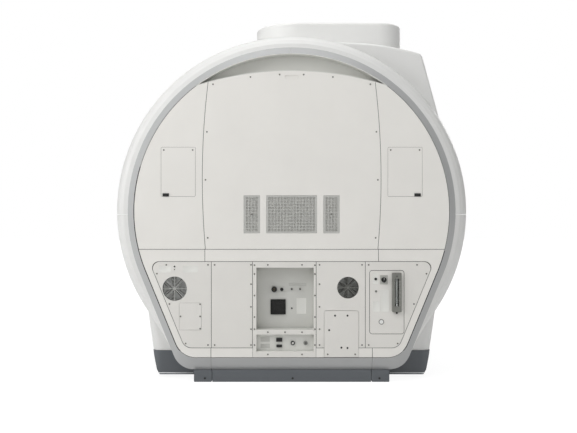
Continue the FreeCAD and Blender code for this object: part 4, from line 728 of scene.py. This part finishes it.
def joined(name: str, pieces: list[Piece]) -> Piece:
    """Join pieces to one.

    Args:
        name: Its name.
        pieces: The pieces.

    Returns:
        The joined piece.
    """
    select_only(pieces[0])
    for piece in pieces:
        piece.select_set(True)
    bpy.ops.object.join()
    pieces[0].name = name
    return pieces[0]


def swept(name: str, points: list[Vector], radius: float, closed: bool = False) -> Piece:
    """Make a cord of even thickness along some points.

    Args:
        name: Name of the piece.
        points: Its middle line, in metres.
        radius: Its radius.
        closed: Whether its end meets its start.

    Returns:
        The cord as a mesh with closed ends.
    """
    data = bpy.data.curves.new(name, "CURVE")
    data.dimensions = "3D"
    data.bevel_depth = radius
    data.bevel_resolution = 2
    data.use_fill_caps = not closed
    line = data.splines.new("POLY")
    line.points.add(len(points) - 1)
    for spot, point in zip(line.points, points):
        spot.co = (*point, 1.0)
    line.use_cyclic_u = closed
    select_only(linked(name, data))
    bpy.ops.object.convert(target="MESH")
    bpy.ops.object.shade_smooth_by_angle(angle=CORD_ANGLE)
    return bpy.context.object


def fit_out(piece: Piece, finish: Finish, body: str = "gantry") -> None:
    """Finish a new piece and hang it on its body.

    Args:
        piece: The piece.
        finish: The finish.
        body: Body that the piece rides on.
    """
    material = material_of(finish)
    piece.data.materials.clear()
    piece.data.materials.append(material)
    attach(piece, body)
    LOG.info("%s: %s on %s, %d faces", piece.name, material.name, body, len(piece.data.polygons))


def skin_of(mesh: bpy.types.Mesh) -> BVHTree:
    """Faces of a mesh, ready for rays."""
    faces = [tuple(face.vertices) for face in mesh.polygons]
    return BVHTree.FromPolygons([vertex.co for vertex in mesh.vertices], faces)


def islands(node: str) -> list[tuple[Vector, Vector]]:
    """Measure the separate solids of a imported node.

    Args:
        node: Name of the node.

    Returns:
        Lowest and highest corner of each, in metres.
    """
    twin = copied(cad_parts[node], Vector())
    pick_faces(twin, lambda face: True)
    bpy.ops.mesh.remove_doubles(threshold=WELD)
    bpy.ops.object.mode_set(mode="OBJECT")
    corners = []
    for solid in mesh_linked_triangles(twin.data):
        points = [twin.data.vertices[i].co for triangle in solid for i in triangle.vertices]
        low, high = (Vector([pick(p[k] for p in points) for k in range(3)]) for pick in (min, max))
        corners.append((low, high))
    bpy.data.objects.remove(twin)
    return sorted(corners, key=lambda pair: tuple(round(c, 5) for c in (*pair[0], *pair[1])))


@dataclass(frozen=True)
class Turned:
    """Small round fitting that faces the rear, with its middle sunk or raised."""

    radius: float
    depth: float
    proud: float
    border: float
    sunk: float
    edge: float = 0.0
    facets: int = 32

    def make(self, name: str, x: float, face: float, z: float) -> Piece:
        """Model the fitting.

        Args:
            name: Name of the piece.
            x: Where its axis is across.
            face: The face that it stands out from.
            z: Height of its axis.

        Returns:
            The fitting.
        """
        bpy.ops.object.select_all(action="DESELECT")
        bpy.ops.mesh.primitive_cylinder_add(
            vertices=self.facets,
            radius=self.radius,
            depth=self.depth,
            location=(x, face - self.proud + self.depth / 2, z),
            rotation=(math.pi / 2, 0.0, 0.0),
        )
        piece = named(name)
        sink_front(piece, self.border, self.sunk)
        if self.edge:
            soften(piece, self.edge)
        return piece


@dataclass
class Labels:
    """Blank film where the real panels carry print: plain fields of colour."""

    film: float = 0.0004
    edge: float = 0.00015

    def build(self, name: str, finish: Enamel, slot: str, y: float, fields: Fields) -> None:
        """Stick some fields on a rear-looking face.

        Args:
            name: Name of the piece that they make up.
            finish: Their film.
            slot: Not used.
            y: The face that they lie on.
            fields: Left, bottom, right and top of each, in metres.
        """
        plates = []
        for x0, z0, x1, z1 in fields:
            plate = add_block(name, (x0, y - self.film, z0), (x1, y + self.film, z1))
            sink_front(plate, 4 * self.edge, self.edge / 2)
            soften(plate, self.edge)
            plates.append(plate)
        fit_out(joined(name, plates), finish)


@dataclass
class Covers:
    """Outer covers, trim band, turret, base and plinth."""

    shells: tuple[str, ...] = (
        "rear_cover_upper",
        "rear_cover_left",
        "rear_cover_right",
        "front_cover_left",
        "front_cover_right",
        "front_fascia",
        "bore_funnel",
    )
    skirting: tuple[str, ...] = ("base_cover_left", "base_cover_right", "plinth")
    lip_low: float = 0.027
    lip_high: float = 0.032
    lip_inner: float = 0.608
    lip_outer: float = 0.820
    lip_proud: float = 0.003
    lip_taper: float = 0.6

    def build(self) -> None:
        """Dress the covers and add the lips of the base."""
        dress(COVER_WHITE, *self.shells)
        dress(TURRET_WHITE, "turret_cover")
        dress(BAND_GREY, "rear_band")
        dress(BASE_GREY, *self.skirting)
        for side in SIDES:
            self.add_lip(side)

    def add_lip(self, side: str) -> None:
        """Add the lip along the lower edge of one base cover's rear wall, pale as a painted
        highlight.

        Args:
            side: Name of the side.
        """
        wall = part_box(f"base_cover_{side}")[0][1]
        start, end = sorted((SIDES[side] * self.lip_inner, SIDES[side] * self.lip_outer))
        low = (start, wall - self.lip_proud, self.lip_low)
        high = (end, wall + self.lip_proud, self.lip_high)
        lip = add_block(f"base_highlight_lip_{side}", low, high)
        pick_faces(lip, lambda face: face.normal.z > FACING)
        bpy.ops.transform.resize(value=(1.0, self.lip_taper, 1.0), center_override=high)
        bpy.ops.object.mode_set(mode="OBJECT")
        soften(lip, self.lip_proud / 2)
        # pale as a painted highlight along the dark base
        fit_out(lip, PALE_LIP_HIGHLIGHT)


@dataclass
class RearFace:
    """Service panels of the rear face with their grilles and hatches."""

    upper: tuple[str, ...] = (
        "upper_centre_panel",
        "upper_panel_left",
        "upper_panel_right",
        "side_hatches",
        "surround_top",
        "surround_left",
        "surround_right",
        "surround_bottom",
    )
    lower: tuple[str, ...] = (
        "fan_panel_left",
        "blank_panel",
        "fan_panel_right",
        "instrument_carrier",
        "lower_hatches",
        "connector_frame",
        "instrument_plate",
    )
    socket_share: float = 0.62
    socket_border: float = 0.25
    socket_rim: float = 0.0002
    # a dark cord along the rim of the panels, painted shade where the gap lies in shadow, reaching
    # higher on the left than on the right
    shade_cord_radius: float = 0.0036
    shade_cord_sunk: float = 0.0026
    shade_cord_foot: float = 0.19
    shade_cord_step: float = 0.012
    shade_cord_tops: tuple[tuple[str, float], ...] = (("left", 1.30), ("right", 0.79))
    outside: float = 2.0
    fan_fitting_x: float = -0.703
    fan_fittings: tuple[tuple[float, Turned], ...] = (
        (0.695, Turned(0.005, 0.003, proud=0.0025, border=0.0015, sunk=0.001, edge=0.0005)),
        (0.677, Turned(0.003, 0.003, proud=0.0025, border=0.0009, sunk=0.001, edge=0.0005)),
    )
    fan_labels: Fields = (
        (-0.796, 0.659, -0.724, 0.699),
        (-0.652, 0.659, -0.562, 0.699),
    )

    def build(self) -> None:
        """Dress the panels and what is behind them."""
        dress(PANEL_WHITE, *self.upper)
        dress(LOWER_WHITE, *self.lower)
        dress(GRILLE_GREY, "grille_centre", "grille_sides")
        dress(GRILLE_MAT, "grille_filters")
        dress(TRAY_GREY_AND_SHADE, "crest_tray")
        dress(RECESS_GREY_AND_SHADE, "recess_tray")
        dress(STRIP_GREY_AND_SHADE, "strip_tray")
        # the frame dark as painted shade in the seams
        dress(FRAME_STEEL_SEAM_SHADE, "rear_frame")
        dress(SCREW, "panel_screws")
        self.add_screw_sockets()
        self.add_fan_fittings()
        # painted shade along the rim of the panels
        for side, top in self.shade_cord_tops:
            self.add_gap_shade(side, top)
        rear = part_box("fan_panel_left")[0][1]
        Labels().build("label_fields_fan_panel", LABEL_PALE, "lower_white", rear, self.fan_labels)

    def add_screw_sockets(self) -> None:
        """Add the socket of every screw head, its bottom dark as painted shade: one is modelled,
        and the others are copies.
        """
        heads = islands("panel_screws")
        rim = self.socket_rim
        spots = [Vector(((low.x + high.x) / 2, low.y, (low.z + high.z) / 2)) for low, high in heads]
        radius = (heads[0][1].x - heads[0][0].x) / 2 * self.socket_share
        border = radius * self.socket_border
        socket = Turned(radius, 2 * rim, proud=rim, border=border, sunk=1.5 * rim, facets=6)
        model = socket.make("screw_sockets", *spots[0])
        others = [copied(model, spot - spots[0]) for spot in spots[1:]]
        # dark socket bottoms as painted shade
        fit_out(joined("screw_sockets", [model, *others]), SOCKET_SHADE_AND_DARK_MARKS)

    def add_gap_shade(self, side: str, top: float) -> None:
        """Add a dark cord along the rim of the panels on one side, as painted shade where the gap
        lies in shadow.

        Args:
            side: Name of the side.
            top: Height at which it stops showing.
        """
        sign = SIDES[side]
        panels = (f"upper_panel_{side}", f"surround_{side}")
        skins = [skin_of(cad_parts[panel].data) for panel in panels]
        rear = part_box(f"surround_{side}")[0][1]
        inward = Vector((-sign, 0.0, 0.0))
        points = []
        for k in range(int((top - self.shade_cord_foot) / self.shade_cord_step) + 1):
            height = self.shade_cord_foot + k * self.shade_cord_step
            start = Vector((self.outside * sign, rear + self.shade_cord_radius, height))
            hits = [skin.ray_cast(start, inward)[0] for skin in skins]
            reached = [abs(hit.x) for hit in hits if hit]
            if reached:
                x = sign * (max(reached) + self.shade_cord_radius / 2)
                points.append(Vector((x, rear + self.shade_cord_sunk, height)))
        shade_cord = swept(f"panel_gap_shade_{side}", points, self.shade_cord_radius)
        fit_out(shade_cord, GAP_SHADE_CORD)

    def add_fan_fittings(self) -> None:
        """Add the small round fittings over the left fan."""
        name, x, rear = "fan_panel_fittings", self.fan_fitting_x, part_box("fan_panel_left")[0][1]
        fittings = [shape.make(name, x, rear, z) for z, shape in self.fan_fittings]
        fit_out(joined(name, fittings), DARK_PLASTIC)


@dataclass
class Fittings:
    """Fans, connector fittings and instruments."""

    tray_floor: float = 0.003
    ring_port: Point = (0.007, -0.775, 0.2315)
    ring_core: Turned = Turned(
        0.0068, 0.0044, proud=-0.0005, border=0.0042, sunk=0.002, edge=0.0006
    )
    round_port: Point = (0.084, -0.775, 0.2315)
    port_cap: Turned = Turned(
        0.0066, 0.006, proud=0.002, border=0.0015, sunk=-0.0015, edge=0.0004, facets=12
    )
    large_port: Point = (-0.106, -0.727, 0.552)
    pin: Turned = Turned(0.0009, 0.007, proud=0.006, border=0.0003, sunk=-0.0006, facets=8)
    pin_circle: float = 0.0055
    outer_pins: int = 6
    meter_x: float = 0.6295
    meter_front: float = -0.820
    meter_channel: float = 0.026
    meter_low: float = 0.461
    meter_high: float = 0.620
    backing_half: float = 0.0115
    backing_reach: tuple[float, float] = (0.0008, 0.0002)
    backing_rim: tuple[float, float] = (0.0015, 0.0003)
    tick_ends: tuple[float, float] = (0.0145, 0.0205)
    tick_height: float = 0.0014
    tick_proud: float = 0.0003
    tick_pitch: float = 0.008
    meter_screw: Turned = Turned(
        0.0038, 0.002, proud=0.0012, border=0.0012, sunk=0.001, edge=0.0003
    )
    meter_screw_rise: float = 0.018
    fine_edge: float = 0.0002
    selector: tuple[float, float] = (0.553, 0.6155)
    selector_plate: float = 0.002
    selector_line: tuple[float, float] = (0.0009, 0.0145)
    line_reach: tuple[float, float] = (0.0003, 0.0005)
    selector_tick: Turned = Turned(
        0.0011, 0.0008, proud=0.0003, border=0.0003, sunk=-0.0001, facets=12
    )
    selector_circle: float = 0.0205
    selector_places: tuple[int, ...] = (30, 60, 90, 120, 150)
    recess_labels: Fields = ((-0.018, 0.571, 0.089, 0.589),)
    recess_card: Fields = ((0.030, 0.402, 0.089, 0.498),)
    strip_labels: Fields = (
        (-0.188, 0.239, -0.132, 0.267),
        (-0.188, 0.2005, -0.132, 0.2265),
    )
    plate_labels: Fields = (
        (0.532, 0.424, 0.584, 0.555),
        (0.487, 0.424, 0.529, 0.486),
        (0.485, 0.590, 0.520, 0.657),
    )

    def build(self) -> None:
        """Dress the small fittings and add what they hold."""
        self.dress_nodes()
        self.add_strip_inserts()
        self.add_pins()
        self.add_flowmeter_scale()
        self.add_selector_marks()
        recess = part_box("recess_tray")[1][1] - self.tray_floor
        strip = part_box("strip_tray")[1][1] - self.tray_floor
        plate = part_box("instrument_plate")[0][1]
        labels = Labels()
        labels.build("label_fields_recess", LABEL_GREY, "tray_grey", recess, self.recess_labels)
        labels.build("label_card_recess", LABEL_PALE, "tray_grey", recess, self.recess_card)
        labels.build("label_fields_strip", LABEL_GREY, "tray_grey", strip, self.strip_labels)
        fields = self.plate_labels
        labels.build("label_fields_instruments", LABEL_PALE, "lower_white", plate, fields)

    def dress_nodes(self) -> None:
        """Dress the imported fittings."""
        dress(DARK_PLASTIC, "dark_fittings", "selector_knob", "flowmeter_valve")
        dress(FILTER, "recess_filter")
        dress(GUARD, "fan_guards")
        dress(FAN_PLASTIC, "fan_housings", "fan_rotor_left", "fan_rotor_right")
        dress(TOGGLE, "toggle_left", "toggle_right")
        dress(METER_BODY, "flowmeter_body")
        dress(METER_GLASS, "flowmeter_tube")
        dress(FLOAT_STEEL, "flowmeter_float")
        dress(BUTTON, "push_button")
        dress(FITTING, "instrument_fittings")

    def add_strip_inserts(self) -> None:
        """Add the pale core of the ring port and the cap of the round port."""
        core = self.ring_core.make("ring_port_core", *self.ring_port)
        fit_out(core, PALE_INSERT)
        cap = self.port_cap.make("round_port_cap", *self.round_port)
        fit_out(cap, FITTING)

    def add_pins(self) -> None:
        """Add the contact pins of the large port: one is modelled, and the others are copies."""
        model = self.pin.make("port_pins", *self.large_port)
        pins = [model]
        for k in range(self.outer_pins):
            turn = math.tau * k / self.outer_pins
            shift = Vector((math.cos(turn), 0.0, math.sin(turn))) * self.pin_circle
            pins.append(copied(model, shift))
        fit_out(joined("port_pins", pins), PIN)

    def add_flowmeter_scale(self) -> None:
        """Add the backing strip behind the tube, the ticks beside it and the screw above."""
        x, front, back = self.meter_x, self.meter_front, self.meter_front + self.meter_channel
        before, behind = self.backing_reach
        strip = add_block(
            "flowmeter_backing",
            (x - self.backing_half, back - before, self.meter_low),
            (x + self.backing_half, back + behind, self.meter_high),
        )
        sink_front(strip, *self.backing_rim)
        soften(strip, self.fine_edge)
        fit_out(strip, METER_BACKING)
        near, far = self.tick_ends
        tick = add_block(
            "flowmeter_ticks",
            (x + near, front - self.tick_proud, self.meter_low),
            (x + far, front + self.tick_proud, self.meter_low + self.tick_height),
        )
        soften(tick, self.fine_edge, 1)
        count = int((self.meter_high - self.meter_low) / self.tick_pitch)
        ticks = [copied(tick, Vector((0.0, 0.0, k * self.tick_pitch))) for k in range(1, count)]
        fit_out(joined("flowmeter_ticks", [tick, *ticks]), PALE_INSERT)
        height = self.meter_high + self.meter_screw_rise
        screw = self.meter_screw.make("flowmeter_screw", x, front, height)
        fit_out(screw, SOCKET_SHADE_AND_DARK_MARKS)

    def add_selector_marks(self) -> None:
        """Add the line on the selector's grip and the ticks round it."""
        x, z = self.selector
        half, length = self.selector_line
        before, behind = self.line_reach
        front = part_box("selector_knob")[0][1]
        low, high = (x - half, front - before, z), (x + half, front + behind, z + length)
        line = add_block("selector_line", low, high)
        soften(line, self.fine_edge, 1)
        fit_out(line, PALE_INSERT, "selector")
        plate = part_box("instrument_plate")[0][1] - self.selector_plate
        ticks = []
        for degrees in self.selector_places:
            across = self.selector_circle * math.cos(math.radians(degrees))
            up = self.selector_circle * math.sin(math.radians(degrees))
            ticks.append(self.selector_tick.make("selector_ticks", x + across, plate, z + up))
        fit_out(joined("selector_ticks", ticks), SOCKET_SHADE_AND_DARK_MARKS)


@dataclass
class Magnet:
    """Magnet, coil, liner and feet, all inside the covers."""

    def build(self) -> None:
        """Dress the inner pieces."""
        dress(VESSEL, "magnet_vessel", "cold_head")
        dress(COIL, "gradient_coil")
        dress(LINER, "bore_liner")
        dress(FOOT, "magnet_feet")


@dataclass
class PatientTable:
    """Table base, lift, tabletop and pad."""

    voxel: float = 0.011
    shrink: Point = (0.972, 0.995, 0.86)
    pressure: float = 4.0
    last_frame: int = 20
    swell: float = 0.010
    bulge: float = 0.004
    underside: float = -0.5
    piping_height: float = 0.886
    piping_radius: float = 0.003
    piping_step: float = 0.03
    piping_turns: int = 28

    def build(self) -> None:
        """Dress the table and lay the pad."""
        dress(TABLE_WHITE, "table_base", "table_frame")
        dress(COLUMN, "table_column")
        dress(TABLETOP, "tabletop")
        dress(PAD, "table_pad")
        pad = self.start_pad()
        self.inflate(pad)
        apply_modifier(pad, "SUBSURF", {"levels": 1, "render_levels": 1})
        bpy.ops.object.shade_smooth()
        fit_out(pad, PAD, "tabletop")
        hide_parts("table_pad")
        self.add_piping(pad)

    def start_pad(self) -> Piece:
        """Copy the solid of the pad, a little smaller, as an even mesh that can swell.

        Returns:
            The copy.
        """
        pad = copied(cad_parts["table_pad"], Vector())
        pad.parent = None
        pad.name = "pad_cushion"
        low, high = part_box("table_pad")
        pick_faces(pad, lambda face: True)
        bpy.ops.mesh.remove_doubles(threshold=WELD)
        bpy.ops.mesh.normals_make_consistent(inside=False)
        middle = (0.0, (low.y + high.y) / 2, low.z)
        bpy.ops.transform.resize(value=self.shrink, center_override=middle)
        bpy.ops.object.mode_set(mode="OBJECT")
        pad.data.remesh_voxel_size = self.voxel
        bpy.ops.object.voxel_remesh()
        return pad

    def inflate(self, pad: Piece) -> None:
        """Swell the pad as cloth under pressure, with its underside held on the tabletop.

        Args:
            pad: The even mesh.
        """
        select_only(pad)
        start = [vertex.co.copy() for vertex in pad.data.vertices]
        under = [vertex.index for vertex in pad.data.vertices if vertex.normal.z < self.underside]
        pad.vertex_groups.new(name="underside").add(under, 1.0, "REPLACE")
        cloth = pad.modifiers.new("cloth", "CLOTH")
        cloth.settings.use_pressure = True
        cloth.settings.uniform_pressure_force = self.pressure
        cloth.settings.effector_weights.gravity = 0.0
        cloth.settings.vertex_group_mass = "underside"
        cloth.point_cache.frame_end = self.last_frame
        for moment in range(1, self.last_frame + 1):
            bpy.context.scene.frame_set(moment)
        bpy.ops.object.modifier_apply(modifier=cloth.name)
        bpy.context.scene.frame_set(1)
        pad.vertex_groups.clear()
        self.hold(pad, start)
        LOG.info("pad swollen: %d points", len(start))

    def hold(self, pad: Piece, start: list[Vector]) -> None:
        """Keep the swollen pad near its solid and above that solid's underside.

        Args:
            pad: The swollen mesh.
            start: Where each of its points was before.
        """
        rest = skin_of(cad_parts["table_pad"].data)
        low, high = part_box("table_pad")
        for vertex, origin in zip(pad.data.vertices, start):
            move = vertex.co - origin
            if move.length > self.swell:
                vertex.co = origin + move * (self.swell / move.length)
            for k in (0, 1):
                least, most = low[k] - self.bulge / 2, high[k] + self.bulge / 2
                vertex.co[k] = min(max(vertex.co[k], least), most)
            vertex.co.z = min(vertex.co.z, high.z + self.bulge)
            below = Vector((vertex.co.x, vertex.co.y, low.z - 1.0))
            hit = rest.ray_cast(below, Vector((0.0, 0.0, 1.0)))[0]
            if hit and vertex.co.z < hit.z:
                vertex.co.z = hit.z

    def piping_rays(self) -> list[tuple[Vector, Vector]]:
        """Lay out the rays that find the pad's edge.

        Returns:
            Start and direction of each, in order round the pad.
        """
        low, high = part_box("table_pad")
        near, far = low.y + high.x, high.y - high.x
        count = int((far - near) / self.piping_step) + 1
        along = [near + k * self.piping_step for k in range(count)]
        rays = []
        for side, places, end in ((1.0, along, far), (-1.0, along[::-1], near)):
            across = Vector((side, 0.0, 0.0))
            rays += [(Vector((side, y, self.piping_height)), -across) for y in places]
            middle = Vector((0.0, end, self.piping_height))
            for k in range(1, self.piping_turns):
                turn = math.pi * k / self.piping_turns
                out = side * Vector((math.cos(turn), math.sin(turn), 0.0))
                rays.append((middle + out, -out))
        return rays

    def add_piping(self, pad: Piece) -> None:
        """Sew a corded seam round the pad.

        Args:
            pad: The finished pad.
        """
        skin = skin_of(pad.data)
        found = [skin.ray_cast(place, way)[0] for place, way in self.piping_rays()]
        points = [point for point in found if point]
        piping = swept("pad_piping", points, self.piping_radius, closed=True)
        fit_out(piping, PIPING, "tabletop")


@dataclass(frozen=True)
class Lamp:
    """Square soft lamp, with its side in metres and its power in watts."""

    name: str
    place: Point
    target: Point
    size: float
    power: float

    def hang(self) -> None:
        """Hang the lamp at its place, pointed at its target."""
        data = bpy.data.lights.new(self.name, "AREA")
        data.shape = "SQUARE"
        data.size = self.size
        data.energy = self.power
        lamp = linked(self.name, data)
        lamp.location = self.place
        aim = Vector(self.target) - Vector(self.place)
        lamp.rotation_euler = aim.to_track_quat("-Z", "Y").to_euler()


@dataclass
class Studio:
    """Camera, lights, floor and world."""

    camera_place: Point = (-0.019, -5.8, 0.995)
    lens: float = 52.0
    sensor: float = 36.0
    view_end: float = 200.0
    lamps: tuple[Lamp, ...] = (
        Lamp("key", (-4.5, -5.5, 5.5), (0.0, -0.6, 1.0), 3.5, 89.0),
        Lamp("top", (0.0, 0.0, 6.5), (0.0, 0.0, 1.0), 5.0, 140.0),
        Lamp("left", (-6.0, -3.0, 2.6), (0.0, -0.6, 1.0), 3.0, 145.0),
        Lamp("front", (0.0, -8.5, 3.4), (0.0, -0.6, 1.0), 4.0, 36.0),
        Lamp("high", (-1.5, -3.6, 6.2), (0.0, -0.8, 1.0), 3.0, 98.0),
        Lamp("right", (5.5, -4.5, 3.5), (0.0, -0.6, 1.0), 3.5, 79.0),
        Lamp("table_side", (3.5, 7.0, 4.5), (0.0, 1.0, 0.8), 4.0, 200.0),
    )
    world_strength: float = 0.165
    floor_size: float = 60.0
    floor_tone: Colour = (0.85, 0.85, 0.85, 1.0)
    floor_glow: float = 1.14
    glow_share: tuple[float, float] = (0.8, 1.0)
    glow_reach: tuple[float, float] = (1.5, 4.0)

    def build(self) -> None:
        """Set up the studio."""
        self.place_camera()
        self.lay_floor()
        for lamp in self.lamps:
            lamp.hang()
        self.light_world()

    def place_camera(self) -> None:
        """Put a level camera in front of the rear face."""
        data = bpy.data.cameras.new("camera")
        data.lens = self.lens
        data.sensor_width = self.sensor
        data.clip_end = self.view_end
        camera = linked("camera", data)
        camera.location = self.camera_place
        camera.rotation_euler = (math.pi / 2, 0.0, 0.0)
        bpy.context.scene.camera = camera

    def lay_floor(self) -> None:
        """Lay a pale floor that camera rays see as nearly white, with the object's shadow kept."""
        bpy.ops.object.select_all(action="DESELECT")
        bpy.ops.mesh.primitive_grid_add(size=self.floor_size, x_subdivisions=4, y_subdivisions=4)
        floor = bpy.context.object
        floor.name = "studio_floor"
        material = bpy.data.materials.new("studio_floor_white")
        tree = Tree(material)
        seen = tree.any_of("Camera", "Glossy", "Transmission")
        place = tree.add("TexCoord", {}, "Object")
        reach = tree.add("VectorMath", {"operation": "LENGTH", 0: place}, "Value")
        (near, far), (dim, full) = self.glow_reach, self.glow_share
        bounds = {"From Min": near, "From Max": far, "To Min": dim, "To Max": full}
        fade = tree.add("MapRange", {"Value": reach, **bounds}, "Result")
        share = tree.add("Math", {"operation": "MULTIPLY", 0: seen, 1: fade})
        paint = tree.add("BsdfDiffuse", {"Color": self.floor_tone})
        white = tree.add("Emission", {"Color": WHITE, "Strength": self.floor_glow})
        both = tree.add("MixShader", {0: share, 1: paint, 2: white})
        tree.add("OutputMaterial", {"Surface": both})
        floor.data.materials.append(material)

    def light_world(self) -> None:
        """Give the world an even pale light, white where it is seen."""
        world = bpy.data.worlds.new("studio_world")
        bpy.context.scene.world = world
        tree = Tree(world)
        seen = tree.any_of("Camera", "Transmission")
        bounds = {"To Min": self.world_strength, "To Max": 1.0}
        strength = tree.add("MapRange", {"Value": seen, **bounds}, "Result")
        light = tree.add("Background", {"Color": WHITE, "Strength": strength})
        tree.add("OutputWorld", {"Surface": light})


def main() -> None:
    """Build the studio and every sub-assembly, and note the sizes."""
    logging.basicConfig(level=logging.INFO, format="%(name)s: %(message)s")
    bpy.context.scene.view_settings.view_transform = "Standard"
    for part in (Studio(), Covers(), RearFace(), Fittings(), Magnet(), PatientTable()):
        part.build()


if __name__ == "__main__":
    main()
